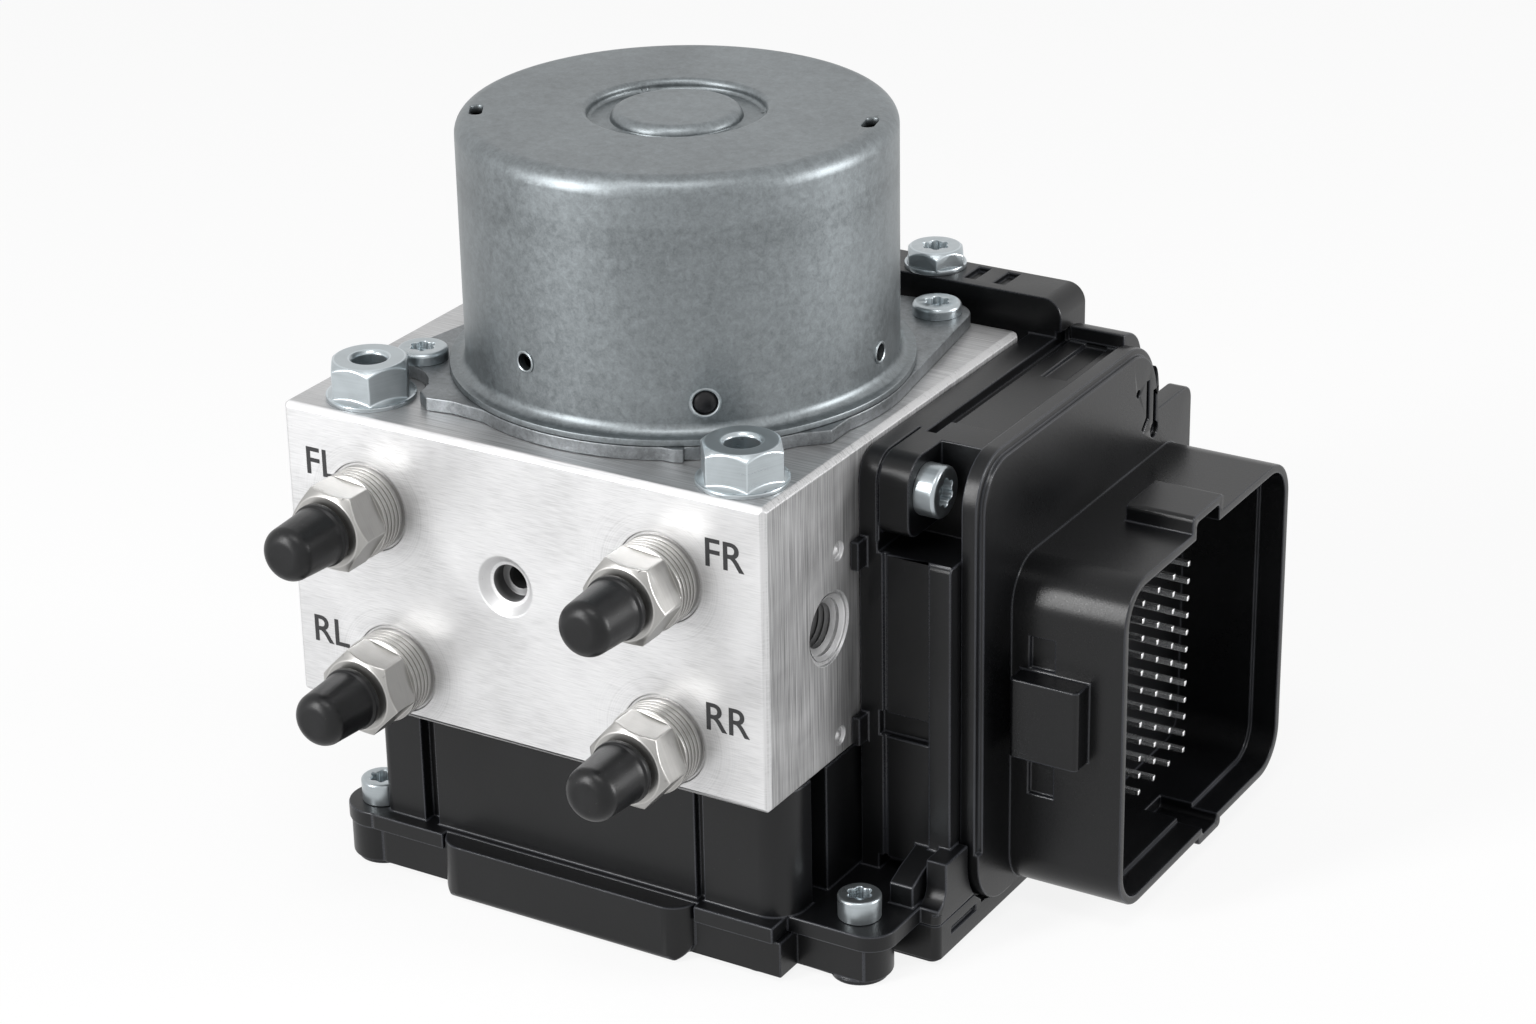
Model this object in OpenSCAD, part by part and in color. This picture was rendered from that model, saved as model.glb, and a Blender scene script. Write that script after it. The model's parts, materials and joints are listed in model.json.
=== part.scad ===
/* [Valve block] */
// Width of the block, left to right
block_w = 97; // [94:1:108]
// Depth of the block, front to back
block_d = 89.6; // [86:0.2:98]
// Height of the block
block_h = 56; // [56:1:66]
// Height of the block's underside above the ground
block_z = 35; // [34:1:42]
// Distance from the motor's axis to the block's left face
axis_to_left = 53.5; // [52:0.5:58]
// Distance from the motor's axis to the block's front face
axis_to_front = 45.6; // [44.6:0.2:50]
// Chamfer along the block's edges
block_chamfer = 0.9; // [0.5:0.1:1.5]

/* [Brake pipe ports] */
// Upper ports, distance below the block's top
upper_port_drop = 16.6; // [15:0.2:18]
// Lower ports, distance above the block's underside
lower_port_rise = 9.3; // [9:0.1:11]
// Upper left port, distance from the left face
upper_left_inset = 17; // [15:0.5:20]
// Lower left port, distance from the left face
lower_left_inset = 21.2; // [19:0.5:24]
// Right ports, distance from the right face
right_inset = 20.5; // [19:0.5:22]
// Radius of the fitting's collar
collar_r = 7.8; // [7:0.1:8.2]
// Length of the collar outside the block
collar_l = 5.2; // [4:0.1:7]
// Radius of the port thread in the block
port_r = 5; // [4.5:0.1:5.4]
// Depth of the port thread
port_depth = 15; // [12:0.5:16]
// Width across the flats of the fitting's hexagon
fitting_af = 14; // [13:0.5:15]
// Length of the fitting's hexagon
fitting_hex_l = 6.6; // [5:0.1:8]
// Radius of the fitting's nose
nose_r = 3.5; // [3:0.1:4]
// Length of the fitting's nose
nose_l = 7; // [5:0.5:8]
// Largest radius of the dust cap
cap_r = 5.7; // [5:0.1:6]
// Length of the dust cap
cap_l = 11.5; // [9.5:0.1:12.5]
// Radius of the dust cap's rounded tip
cap_tip_r = 2.5; // [1.5:0.1:2.8]

/* [Side port and front hole] */
// Side port, distance behind the block's front face
side_port_back = 20.6; // [19:0.2:22]
// Side port, distance below the block's top
side_port_drop = 29.9; // [29:0.1:31]
// Radius of the side port's thread
side_port_r = 4.6; // [4:0.1:5]
// Depth of the side port's thread
side_port_depth = 12; // [10:0.5:13]
// Front hole, distance from the left face
front_hole_inset = 45.3; // [43:0.1:47]
// Front hole, distance below the block's top
front_hole_drop = 25.4; // [24:0.2:27]
// Radius of the front hole
front_hole_r = 2.1; // [1.8:0.1:2.4]

/* [Motor] */
// Outer radius of the motor can
motor_r = 38; // [37:0.5:40]
// Height of the motor can above the block
motor_h = 48; // [48:1:56]
// Wall of the motor can
can_wall = 1.6; // [1.2:0.1:1.8]
// Rounding of the can's rim
can_round = 3.2; // [2.5:0.1:4]
// Thickness of the motor flange plate
flange_t = 2.5; // [2:0.1:3]
// Radius of the motor shaft
shaft_r = 3; // [2.8:0.1:3.2]
// Offset of the shaft's eccentric
eccentric = 1.2; // [0.8:0.1:1.4]

/* [Pump] */
// Pump axis, distance below the block's top
pump_drop = 20; // [20:0.5:21]
// Radius of the pump pistons
pump_piston_r = 3; // [2.8:0.1:3.2]
// Radius of the pump sleeves
pump_sleeve_r = 6; // [5.6:0.1:6]
// Length of the pump sleeves
pump_sleeve_l = 19; // [18:0.5:20]

/* [Valves and accumulators] */
// Valve spacing along the block's width
valve_step_x = 19.5; // [19:0.1:19.8]
// Valve spacing along the block's depth
valve_step_y = 40; // [39:0.5:42]
// Radius of the valve bodies
valve_r = 4.5; // [4:0.1:4.8]
// Radius of the valve stems
stem_r = 3; // [2.8:0.1:3.2]
// Radius of the solenoid coils
coil_r = 7.8; // [7:0.1:8.2]
// Height of the solenoid coils
coil_h = 18; // [15:0.5:18]
// Radius of the accumulators
accumulator_r = 9; // [8:0.1:9.4]
// Depth of the accumulators
accumulator_depth = 17; // [16:0.5:17]

/* [Housings] */
// Wall of the black housings
housing_wall = 2.5; // [2:0.1:2.8]
// Height of the bottom cover
pan_h = 11; // [10.5:0.1:12]
// Depth of the side housing beyond the block's right face
side_w = 18; // [17:0.5:20]
// Side housing, distance from its front to the motor axis
side_front = 15; // [14.5:0.1:15.5]
// Side housing, distance from its back to the motor axis
side_back = 57; // [56:0.5:60]
// Thickness of the connector cover's plate
plate_t = 3.7; // [3:0.1:4]
// Corner radius of the connector cover's plate
plate_round = 11; // [8:0.5:13]

/* [Connector] */
// Width of the connector shroud
shroud_w = 68; // [60:1:70]
// Height of the connector shroud
shroud_h = 63; // [56:1:64]
// Length of the connector shroud
shroud_l = 21.5; // [18:0.5:24]
// Wall of the connector shroud
shroud_wall = 2.4; // [2:0.1:3]
// Outer corner radius of the connector shroud
shroud_round = 8; // [7:0.5:11]
// Columns of pins
pin_columns = 4; // [3:1:5]
// Rows of pins
pin_rows = 12; // [8:1:13]
// Distance between pin columns
pin_step_y = 6.2; // [5:0.1:7]
// Distance between pin rows
pin_step_z = 3.4; // [3:0.1:3.8]
// Width of a square pin
pin_w = 1; // [0.8:0.1:1.2]
// Length of the pins in front of the shroud's floor
pin_l = 12; // [9:0.5:14]

/* [Clearances] */
// Gap between a sliding piece and its bore, on the radius
slide_gap = 0.04; // [0.03:0.01:0.05]
// Gap between the shaft and its bearings, on the radius
bearing_gap = 0.04; // [0.03:0.01:0.06]
// Gap between the block and the housing's side
housing_gap = 0.1; // [0.05:0.05:0.2]

/* [Hidden] */
$fn = 72;
tiny = 0.01;
left = -axis_to_left;
right = left + block_w;
front = -axis_to_front;
back = front + block_d;
top = block_z + block_h;

// Brake pipe ports, each [x, z, turn of its hexagon]
port_fl = [left + upper_left_inset, top - upper_port_drop, -5];
port_fr = [right - right_inset, top - upper_port_drop, -5];
port_rl = [left + lower_left_inset, block_z + lower_port_rise, -14];
port_rr = [right - right_inset, block_z + lower_port_rise, -11];
ports = [port_fl, port_fr, port_rl, port_rr];
nose_bore_r = 1.6;
collar_seat = 0.4;
collar_seat_r = collar_r + 0.4;
cap_gap = 0.9;
cap_start = collar_l + fitting_hex_l + cap_gap;

side_port_y = front + side_port_back;
side_port_z = top - side_port_drop;
front_hole_x = left + front_hole_inset;
front_hole_z = top - front_hole_drop;

// Block bolts, motor screws and rear bolt
bolt_shank_r = 3;
bolt_shank_l = 9.5;
bolt_head_h = 7.2;
bolt_head_af = 13;
bolt_collar_r = 7.9;
bolt_hole_r = 3;
bolt_hole_depth = 5;
bolt_hole_bevel = 0.6;
block_bolts_at = [[left + 12.5, front + 9.2], [right - 9.1, front + 8.6]];
motor_screw_r = 2.5;
motor_screw_l = 9;
motor_screw_head_r = 4.5;
motor_screw_head_h = 2.2;

// Motor stack, from the block's top upwards
can_base = top + flange_t;
can_foot_t = 1.2;
can_foot_r = motor_r + 2.9;
flange_r = can_foot_r + 0.1;
can_fillet = 1.8;

// Motor screws, each [angle, distance beyond the can's foot]
motor_screw_turns = [[-150.3, 4.8], [53.3, 8], [130.7, 6.6]];
motor_screws_at = [for (turn = motor_screw_turns) (can_foot_r + turn[1]) * [cos(turn[0]), sin(turn[0])]];

// Can's upper end
can_top = top + motor_h;
can_in_r = motor_r - can_wall;
groove_out_r = 15.4;
groove_in_r = 11.4;
groove_depth = 1.9;
groove_edge_round = 1;
button_round = 1.8;
bump_in_r = groove_in_r - can_wall;
bearing_h = 5;
upper_bearing_z = can_top - can_wall - bearing_h;
bearing_r = 8;
hub_r = 12;
hub_h = 4.5;
bearing_seat_z = can_base - bearing_h;
brush_z = top + 4.6;
brush_h = 6;
brush_gap = 0.3;
commutator_r = 9.5;
core_z = top + 14;
core_top = can_top - 13;
core_r = can_in_r - 4.6;
core_slots = 12;
core_slot_w = 4.2;
core_slot_d = 11;
winding_turn = 2;
magnet_t = 3.4;
magnet_gap = 0.05;
magnet_count = 4;
magnet_span = 66;
side_holes = [[-101.8, 12.9, 1.6], [-52.4, 9, 2.3], [4.2, 9.2, 1.6]];
rim_slots = [-149.7, 13.7];
rim_slot_at = 34.2;
rim_slot_r = 1.1;
rim_slot_half = 1.5;

// Pump, along X through the motor's axis
pump_z = top - pump_drop;
chamber_r = 13;
chamber_floor = pump_z - 8;
journal_r = 7;
journal_h = 10;
ring_t = 2.5;
ring_r = journal_r + bearing_gap + ring_t;
ring_h = 9;
piston_in = ring_r + eccentric + 0.15;
piston_l = 15;
sleeve_in = chamber_r + 1;
sleeve_out = sleeve_in + pump_sleeve_l;
sleeve_end = 2;
ball_r = 1.6;
ball_seat_r = 1;
ball_lift = 0.6;
plug_r = 7;
plug_hex_af = 6;
plug_cavity_r = ball_r + 0.35;
plug_cavity_l = 2 * ball_r + ball_lift + 0.15;

// Valves and accumulators, in the block's underside
valve_mid_x = (left + right) / 2 + 5;
valve_at = [
    for (row = [-1, 1], column = [-1.5, -0.5, 0.5, 1.5])
        [valve_mid_x + column * valve_step_x, row * valve_step_y / 2]
];
valve_depth = 17;
stem_bottom = pan_h + 2;
stem_bore_r = stem_r - 0.7;
stem_floor = 1;
plunger_bottom = stem_bottom + stem_floor + 0.05;
plunger_l = 14;
plunger_lift = 0.5;
stem_bore_top = plunger_bottom + plunger_l + plunger_lift + 0.05;
rod_r = 0.6;
rod_bore_r = 0.7;
rod_top = block_z + valve_depth - 3;
lead_z = pan_h + housing_wall + 0.3;
lead_t = 1.2;
coil_bottom = lead_z + lead_t;
coil_in_r = stem_r + 0.1;
coil_wire_in = 1;
coil_flange_t = 1.2;
accumulator_at = [[valve_mid_x - valve_step_x, 0], [valve_mid_x + valve_step_x, 0]];
accumulator_cap_t = 3;
accumulator_piston_h = 6;

// Lower housing and bottom cover
side_left = right + housing_gap;
side_split = right + side_w;
far_back = side_back + 9;
far_top = top - 20.5;
lower_left = left + 12;
lower_right = right - 0.4;
lower_front = front + 6.1;
lower_back = back - 5;
front_wall = housing_wall + 2;
corner_recess = 3.6;
flange_plate_t = 3.1;
flange_z = pan_h - flange_plate_t;
base_left = lower_left - 4.4;
base_front = lower_front - 2.7;
base_back = lower_back + 4;
base_right = right + side_w + 2;
base_step_front = -23.5;
base_far = far_back;
bulge_left = lower_left + 14.6;
bulge_right = lower_right - 17.6;
bulge_front = lower_front - 5.5;
bulge_lip = 2.2;
lip_gap = 0.15;
ear_r = 6.3;
screw_left = [lower_left - 3, front + 9.6];
screw_right = [right + 8.7, front + 14.8];
screw_back_left = [lower_left - 3, lower_back - 3];
screw_back_right = [side_left - 4.6, side_back + 2];
screw_relief = 0.4;
pan_screws_at = [screw_left, screw_right, screw_back_left, screw_back_right];
pan_screw_head_r = 3.85;
pan_screw_head_h = 4.4;
pan_screw_r = 2;
pan_screw_l = 8.5;
boss_middle = [right - 7.2, front + 10.8];
bulge_round = 5;
bulge_end_round = 4.5;
rib_front = front + 19.6;
pan_floor = 2.5;
pan_round = 2;
seal_near = 0.8;
seal_far = 2;
seal_h = 0.8;

// Side housing, right of the block
side_top = top - 1.6;
panel_bottom = pan_h + 2.8;
panel_top = top - 19;
panel_face = 0.6;
back_rim_w = 7.5;
back_rim_h = 2;
back_rim_round = 7;
boss_right = right + 9.7;
boss_back = 3.5;
boss_bottom = top - 16;
boss_screw = [-side_front + 5.8, top - 8.2];
side_screw_head_r = 4.6;
side_screw_head_h = 4;
side_screw_r = 2.2;
tab_out = 3;
tab_t = 1.6;
lead_window_z = lead_z - 1.6;
lead_window_h = lead_t + 4;
arm_front = back + 3.5;
arm_back = arm_front + 10;
arm_left = 8;
arm_right = right + 6.4;
arm_top = top + 5.6;
arm_bottom = top - 8;
rear_bolt_at = [21.5, arm_front + 5.4];
rear_bolt_r = 3;
rear_bolt_l = 14;
rear_bolt_head_r = 5.7;
rear_bolt_base_h = 1;
rear_bolt_af = 10;
rear_bolt_head_h = 4;

// Connector cover
plate_out = side_split + plate_t;
plate_front = -side_front + 3;
plate_back = side_back;
plate_bottom = pan_h - 6.2;
plate_top = top - 0.8;
plate_gap = 0.6;
cheek_round = 3;
plate_far = side_back + 14;
plate_step_top = top - 15.5;
space_front = plate_front + housing_wall;
space_bottom = pan_h + housing_wall;
space_back = side_back - housing_wall;
space_top = side_top - housing_wall - 1;
space_far = far_back - housing_wall;
space_step_top = far_top - housing_wall;
notch_wall = 3;
notch_back = 3.5;
shroud_out = plate_out + shroud_l;
shroud_front = -0.5;
shroud_bottom = 4.3;
shroud_mid_y = shroud_front + shroud_w / 2;
shroud_mid_z = shroud_bottom + shroud_h / 2;
shroud_floor = plate_out + 1.8;
key_y = shroud_front + 32.7;
key_w = 9.3;
key_h = 4;
low_key_y = key_y + 5;
low_key_w = 6.2;
low_key_h = 2.3;
key_l = 13;
key_wall = 1.6;
rim_step_l = 5;
rim_step = 0.8;
pin_shift_y = -1;
pin_shift_z = -0.8;
latch_x = 1.8;
latch_l = 13.2;
latch_h = 15;
latch_rise = 5.3;
latch_out = 4.5;
window_l = 4.7;
window_h = 6;
window_depth = 0.8;
window_inset = 1.8;
window_gap = 0.4;
low_window_gap = 2.8;

// Electronics
board_t = 1.6;
board_x = right + 9;
pin_back = board_x + board_t;
board_front = 2;
board_back = side_back - 5;
board_bottom = pan_h + 4;
board_top = side_top - 6;
lead_half_w = valve_step_y / 2 + coil_r - 1;

// Round bar from one point along Z
module bar(r, z0, z1) {
    translate([0, 0, z0])
        cylinder(r = r, h = z1 - z0);
}

// Tube along Z
module tube(r_out, r_in, z0, z1) {
    difference() {
        bar(r_out, z0, z1);
        bar(r_in, z0 - 1, z1 + 1);
    }
}

// Straight hexagonal bar along Z, sized across its flats
module hex_bar(af, z0, z1) {
    translate([0, 0, z0])
        cylinder(d = af / cos(30), h = z1 - z0, $fn = 6);
}

// Six-lobed bar along Z, sized across its lobes
module lobe_bar(d, z0, z1) {
    along_z(z0, z1) {
        circle(0.4 * d);
        for (i = [0 : 5])
            rotate(i * 60)
                translate([0.36 * d, 0])
                    circle(0.14 * d);
    }
}

// Box from its lowest to its highest corner
module block_between(low, high) {
    translate(low)
        cube(high - low);
}

// Rectangle with its own radius at each corner, counter-clockwise from the lower left
module round_rect(x0, y0, x1, y1, r = [0, 0, 0, 0]) {
    difference() {
        translate([x0, y0])
            square([x1 - x0, y1 - y0]);
        corner_cut(x0, y0, 0, r[0]);
        corner_cut(x1, y0, 90, r[1]);
        corner_cut(x1, y1, 180, r[2]);
        corner_cut(x0, y1, 270, r[3]);
    }
}

// What a rounded corner leaves out
module corner_cut(x, y, turn, r) {
    if (r > 0)
        translate([x, y])
            rotate(turn)
                difference() {
                    translate([-1, -1])
                        square(r + 1);
                    translate([r, r])
                        circle(r);
                }
}

// Stand a drawing in the YZ plane and give it a thickness along X
module along_x(x0, x1) {
    translate([x0, 0, 0])
        rotate([90, 0, 90])
            linear_extrude(x1 - x0)
                children();
}

// Stand a drawing in the XZ plane and give it a thickness along Y
module along_y(y0, y1) {
    translate([0, y1, 0])
        rotate([90, 0, 0])
            linear_extrude(y1 - y0)
                children();
}

// Lay a drawing flat and give it a thickness along Z
module along_z(z0, z1) {
    translate([0, 0, z0])
        linear_extrude(z1 - z0)
            children();
}

// Put a piece that is drawn along +Z at a port, pointing forwards out of the block
module at_port(port) {
    translate([port[0], front, port[1]])
        rotate([90, 0, 0])
            children();
}

// Rectangle with chamfered corners
module chamfered_rect(x0, y0, x1, y1, c) {
    polygon([
        [x0 + c, y0], [x1 - c, y0], [x1, y0 + c], [x1, y1 - c],
        [x1 - c, y1], [x0 + c, y1], [x0, y1 - c], [x0, y0 + c]
    ]);
}

// Valve block: bar with chamfered edges, drilled from all sides
module valve_block() {
    color("#c9cbcd")
        difference() {
            intersection() {
                along_z(block_z, top)
                    chamfered_rect(left, front, right, back, block_chamfer);
                along_y(front, back)
                    chamfered_rect(left, block_z, right, top, block_chamfer);
                along_x(left, right)
                    chamfered_rect(front, block_z, back, top, block_chamfer);
            }
            for (port = ports)
                at_port(port)
                    port_cut();
            block_side_port_cut();
            block_front_hole_cut();
            block_motor_cut();
            for (side = [-1, 1])
                block_pump_cut(side);
            for (at = valve_at)
                translate(at)
                    bar(valve_r, block_z - 1, block_z + valve_depth);
            for (at = accumulator_at)
                translate(at)
                    bar(accumulator_r, block_z - 1, block_z + accumulator_depth);
            for (at = block_bolts_at)
                translate(at)
                    bar(bolt_shank_r, top - bolt_shank_l - 1, top + 1);
            for (at = motor_screws_at)
                translate(at)
                    bar(motor_screw_r, top - motor_screw_l, top + 1);
            block_ball_seats();
        }
}

// Port: a shallow seat for the collar, and the thread behind it
module port_cut() {
    bar(collar_seat_r, -collar_seat, 1);
    bar(port_r, -port_depth, 1);
    translate([0, 0, -port_depth - 2])
        cylinder(r1 = 0.8, r2 = 2, h = 2 + tiny);
}

// Side port: a stepped cone round a threaded hole
module block_side_port_cut() {
    translate([right, side_port_y, side_port_z])
        rotate([0, 90, 0]) {
            bar(side_port_r, -side_port_depth, 1);
            translate([0, 0, -2.2])
                cylinder(r1 = side_port_r + 0.3, r2 = side_port_r + 1.7, h = 2.2 + tiny);
            bar(side_port_r + 2, -0.5, 1);
            bar(2, -side_port_depth - 2, 0);
        }
}

// Front hole: a wide cone, a flat seat and a narrow hole
module block_front_hole_cut() {
    translate([front_hole_x, front, front_hole_z])
        rotate([90, 0, 0]) {
            bar(front_hole_r, -14, 1);
            bar(front_hole_r + 1.3, -4.5, 1);
            translate([0, 0, -1.6])
                cylinder(r1 = front_hole_r + 1.9, r2 = front_hole_r + 3.5, h = 1.6 + tiny);
        }
}

// Bore for the motor's hub, and the pump chamber under it
module block_motor_cut() {
    bar(hub_r + slide_gap, top - hub_h - 0.2, top + 1);
    bar(chamber_r, chamber_floor, top - hub_h);
}

// Pump bore from the chamber to a side face, wider where the plug is screwed in
module block_pump_cut(side) {
    face = side > 0 ? right : -left;
    translate([0, 0, pump_z])
        rotate([0, side * 90, 0]) {
            bar(pump_sleeve_r, 0, face + 1);
            bar(plug_r, sleeve_out, face + 1);
        }
}

// Shallow holes on the right face, each closed by a pressed ball
module block_ball_seats() {
    for (drop = [16.9, 51.7])
        translate([right, side_port_y + 3.3, top - drop])
            rotate([0, 90, 0])
                difference() {
                    bar(1.7, -0.7, 1);
                    translate([0, 0, -1.3])
                        sphere(1.2);
                }
}

// Motor can: a drawn cup with a foot, a rounded rim and a raised middle
module motor_can() {
    color("#8d9193")
        difference() {
            rotate_extrude()
                difference() {
                    can_outline();
                    can_inside();
                }
            for (hole = side_holes)
                rotate(hole[0])
                    translate([can_in_r - 1, 0, top + hole[1]])
                        rotate([0, 90, 0])
                            cylinder(r = hole[2], h = can_wall + 3);
            for (angle = rim_slots)
                rotate(angle)
                    translate([rim_slot_at, 0, can_top - can_round - 1])
                        linear_extrude(can_round + 2)
                            rim_slot_outline();
        }
}

// Outline of a slot with round ends in the can's rim
module rim_slot_outline() {
    translate([-rim_slot_r, -rim_slot_half])
        square([2 * rim_slot_r, 2 * rim_slot_half]);
    for (end = [-rim_slot_half, rim_slot_half])
        translate([0, end])
            circle(rim_slot_r);
}

// Outside of the can, radius and height
module can_outline() {
    difference() {
        union() {
            round_rect(0, can_base, motor_r, can_top, [0, 0, can_round, 0]);
            translate([0, can_base])
                square([can_foot_r, can_foot_t]);
            translate([motor_r, can_base + can_foot_t])
                difference() {
                    square(can_fillet);
                    translate([can_fillet, can_fillet])
                        circle(can_fillet);
                }
        }
        round_rect(groove_in_r, can_top - groove_depth, groove_out_r, can_top + 1, [0.7, 0.7, 0, 0]);
        corner_cut(groove_out_r, can_top, 270, groove_edge_round);
        corner_cut(groove_in_r, can_top, 180, button_round);
    }
}

// Inside of the can, radius and height
module can_inside() {
    in_top = can_top - can_wall;
    difference() {
        round_rect(-1, can_base - 1, can_in_r, in_top, [0, 0, can_round - can_wall, 0]);
        round_rect(bump_in_r, in_top - groove_depth, groove_out_r + can_wall, in_top + 1);
    }
}

// Tapering web from the plate to an ear round a screw
module ear(at, r) {
    reach = norm(at);
    angle = atan2(at[1], at[0]);
    lean = asin((flange_r - r) / reach);
    translate(at)
        circle(r);
    polygon([
        flange_r * [cos(angle + 90 - lean), sin(angle + 90 - lean)],
        at + r * [cos(angle + 90 - lean), sin(angle + 90 - lean)],
        at + r * [cos(angle - 90 + lean), sin(angle - 90 + lean)],
        flange_r * [cos(angle - 90 + lean), sin(angle - 90 + lean)]
    ]);
}

// Lug of the plate, each corner [angle, distance beyond the plate's edge]
module flange_lug(corners) {
    polygon([for (corner = corners) (flange_r + corner[1]) * [cos(corner[0]), sin(corner[0])]]);
}

// Outline of the motor flange plate
module flange_outline() {
    difference() {
        union() {
            circle(flange_r);
            for (at = motor_screws_at)
                ear(at, 6);
            flange_lug([[-148.8, -2.4], [-131.6, 6.5], [-127.2, 6.2], [-122.6, 2.7], [-113, -0.2]]);
            flange_lug([[-42, -0.6], [-31.7, -0.3], [-23.1, 2.1], [18.3, 0.5], [21.8, -3.3]]);
            flange_lug([[-63.2, 0], [-60.6, 0.9], [-58.1, 1.1], [-57.9, -0.4], [-63.4, -3]]);
        }
        for (at = motor_screws_at)
            translate(at)
                circle(motor_screw_r + 0.2);
        for (at = block_bolts_at)
            translate(at)
                circle(bolt_collar_r + 2);
    }
}

// Motor flange: stamped plate with a hub that centres the motor in the block
module motor_flange() {
    color("#7f8385")
        difference() {
            union() {
                along_z(top, can_base)
                    flange_outline();
                bar(hub_r, top - hub_h, top + tiny);
            }
            bar(bearing_r, bearing_seat_z, can_base + 1);
            bar(shaft_r + 1.2, top - hub_h - 1, can_base);
        }
}

// Permanent magnets, glued inside the can
module motor_magnets() {
    color("#3b3d40")
        for (i = [0 : magnet_count - 1])
            rotate(45 + i * 360 / magnet_count)
                translate([0, 0, core_z - 1])
                    rotate(-magnet_span / 2)
                        rotate_extrude(angle = magnet_span)
                            translate([can_in_r - magnet_gap - magnet_t, 0])
                                square([magnet_t, core_top - core_z + 2]);
}

// One winding slot of the armature
module core_slot() {
    translate([core_r - core_slot_d, -core_slot_w / 2])
        square([core_slot_d - 1.6, core_slot_w]);
    translate([core_r - 3, -0.8])
        square([4, 1.6]);
}

// Armature core: a stack of slotted sheets on the shaft
module armature_core() {
    color("#6d6a66")
        along_z(core_z, core_top)
            difference() {
                circle(core_r);
                circle(shaft_r);
                for (i = [0 : core_slots - 1])
                    rotate(i * 360 / core_slots)
                        core_slot();
            }
}

// Copper windings: slot fillings joined by the turns above and below
module armature_windings() {
    inner = core_r - core_slot_d;
    color("#b06a3b") {
        along_z(core_z, core_top)
            for (i = [0 : core_slots - 1])
                rotate(i * 360 / core_slots)
                    translate([inner, -core_slot_w / 2])
                        square([core_slot_d - 1.6, core_slot_w]);
        tube(core_r - 1.6, inner, core_z - winding_turn, core_z);
        tube(core_r - 1.6, inner, core_top, core_top + winding_turn);
    }
}

// Commutator: copper bars on an insulating core
module commutator() {
    color("#b8733f")
        along_z(brush_z, brush_z + brush_h)
            difference() {
                circle(commutator_r);
                circle(shaft_r);
                for (i = [0 : core_slots - 1])
                    rotate(i * 360 / core_slots)
                        translate([commutator_r - 1, -0.25])
                            square([2, 0.5]);
            }
}

// Motor shaft with the pump's eccentric near its lower end
module motor_shaft() {
    color("#a9adb1") {
        bar(shaft_r, pump_z - journal_h / 2, can_top - can_wall - 0.4);
        translate([0, eccentric, 0])
            bar(journal_r, pump_z - journal_h / 2, pump_z + journal_h / 2);
    }
}

// Brush holder: moulded ring with two brush boxes
module brush_holder() {
    color("#2f3033")
        difference() {
            bar(can_in_r - 0.2, can_base, brush_z + brush_h);
            bar(commutator_r + 3.5, can_base - 1, brush_z + brush_h + 1);
            for (side = [0, 180])
                rotate(side + 20)
                    block_between([commutator_r, -3, brush_z + 1],
                        [commutator_r + 16, 3, brush_z + brush_h + 1]);
        }
}

// Carbon brushes, one on each side of the commutator
module motor_brushes() {
    color("#26272a")
        for (side = [0, 180])
            rotate(side + 20)
                difference() {
                    block_between([commutator_r - 2, -3, brush_z + 1],
                                  [commutator_r + 12, 3, brush_z + brush_h]);
                    bar(commutator_r + brush_gap, brush_z - 1, brush_z + brush_h + 1);
                }
}

// Upper bearing, in the raised middle of the can
module upper_bearing() {
    color("#b5b8ba")
        tube(bump_in_r, shaft_r + bearing_gap, upper_bearing_z, upper_bearing_z + bearing_h);
}

// Lower bearing, in the flange's hub
module lower_bearing() {
    color("#b5b8ba")
        tube(bearing_r, shaft_r + bearing_gap, bearing_seat_z, bearing_seat_z + bearing_h);
}

// Ring that runs on the eccentric and pushes the pump pistons
module eccentric_ring() {
    color("#b5b8ba")
        translate([0, eccentric, 0])
            tube(ring_r, journal_r + bearing_gap, pump_z - ring_h / 2, pump_z + ring_h / 2);
}

// Put a piece that is drawn along +Z on the pump's axis, side -1 left and 1 right
module on_pump(side) {
    translate([0, 0, pump_z])
        rotate([0, side * 90, 0])
            children();
}

// Pump piston with a chamfered nose and a groove for its seal
module pump_piston(side) {
    color("#c4c7c9")
        on_pump(side)
            difference() {
                union() {
                    translate([0, 0, piston_in])
                        cylinder(r1 = pump_piston_r - 0.6, r2 = pump_piston_r, h = 0.6);
                    bar(pump_piston_r, piston_in + 0.6, piston_in + piston_l);
                }
                tube(pump_piston_r + 1, pump_piston_r - 0.5, piston_in + 9, piston_in + 10.2);
            }
}

// Coil spring as a stack of rings joined by a thin post
module ring_spring(r, wire, z0, z1, rings) {
    pitch = (z1 - z0 - wire) / (rings - 1);
    for (i = [0 : rings - 1])
        tube(r, r - wire, z0 + i * pitch, z0 + i * pitch + wire);
    block_between([r - wire, -wire / 2, z0], [r - tiny, wire / 2, z1]);
}

// Spring that presses a pump piston against the ring
module pump_spring(side) {
    color("#9a9da0")
        on_pump(side)
            ring_spring(pump_piston_r - 0.3, 0.5, piston_in + piston_l, sleeve_out - sleeve_end, 5);
}

// Pump sleeve: the cylinder, closed outside by the valve seat
module pump_sleeve(side) {
    color("#aeb1b3")
        on_pump(side)
            difference() {
                bar(pump_sleeve_r, sleeve_in, sleeve_out);
                bar(pump_piston_r + slide_gap, sleeve_in - 1, sleeve_out - sleeve_end);
                bar(ball_seat_r, sleeve_in, sleeve_out + 1);
            }
}

// Pump plug: closes the bore and holds the check ball
module pump_plug(side) {
    face = (side > 0 ? right : -left) - 0.6;
    color("#b9bcbe")
        on_pump(side)
            difference() {
                bar(plug_r, sleeve_out, face);
                bar(plug_cavity_r, sleeve_out - 1, sleeve_out + plug_cavity_l);
                hex_bar(plug_hex_af, face - 2, face + 1);
            }
}

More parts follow.
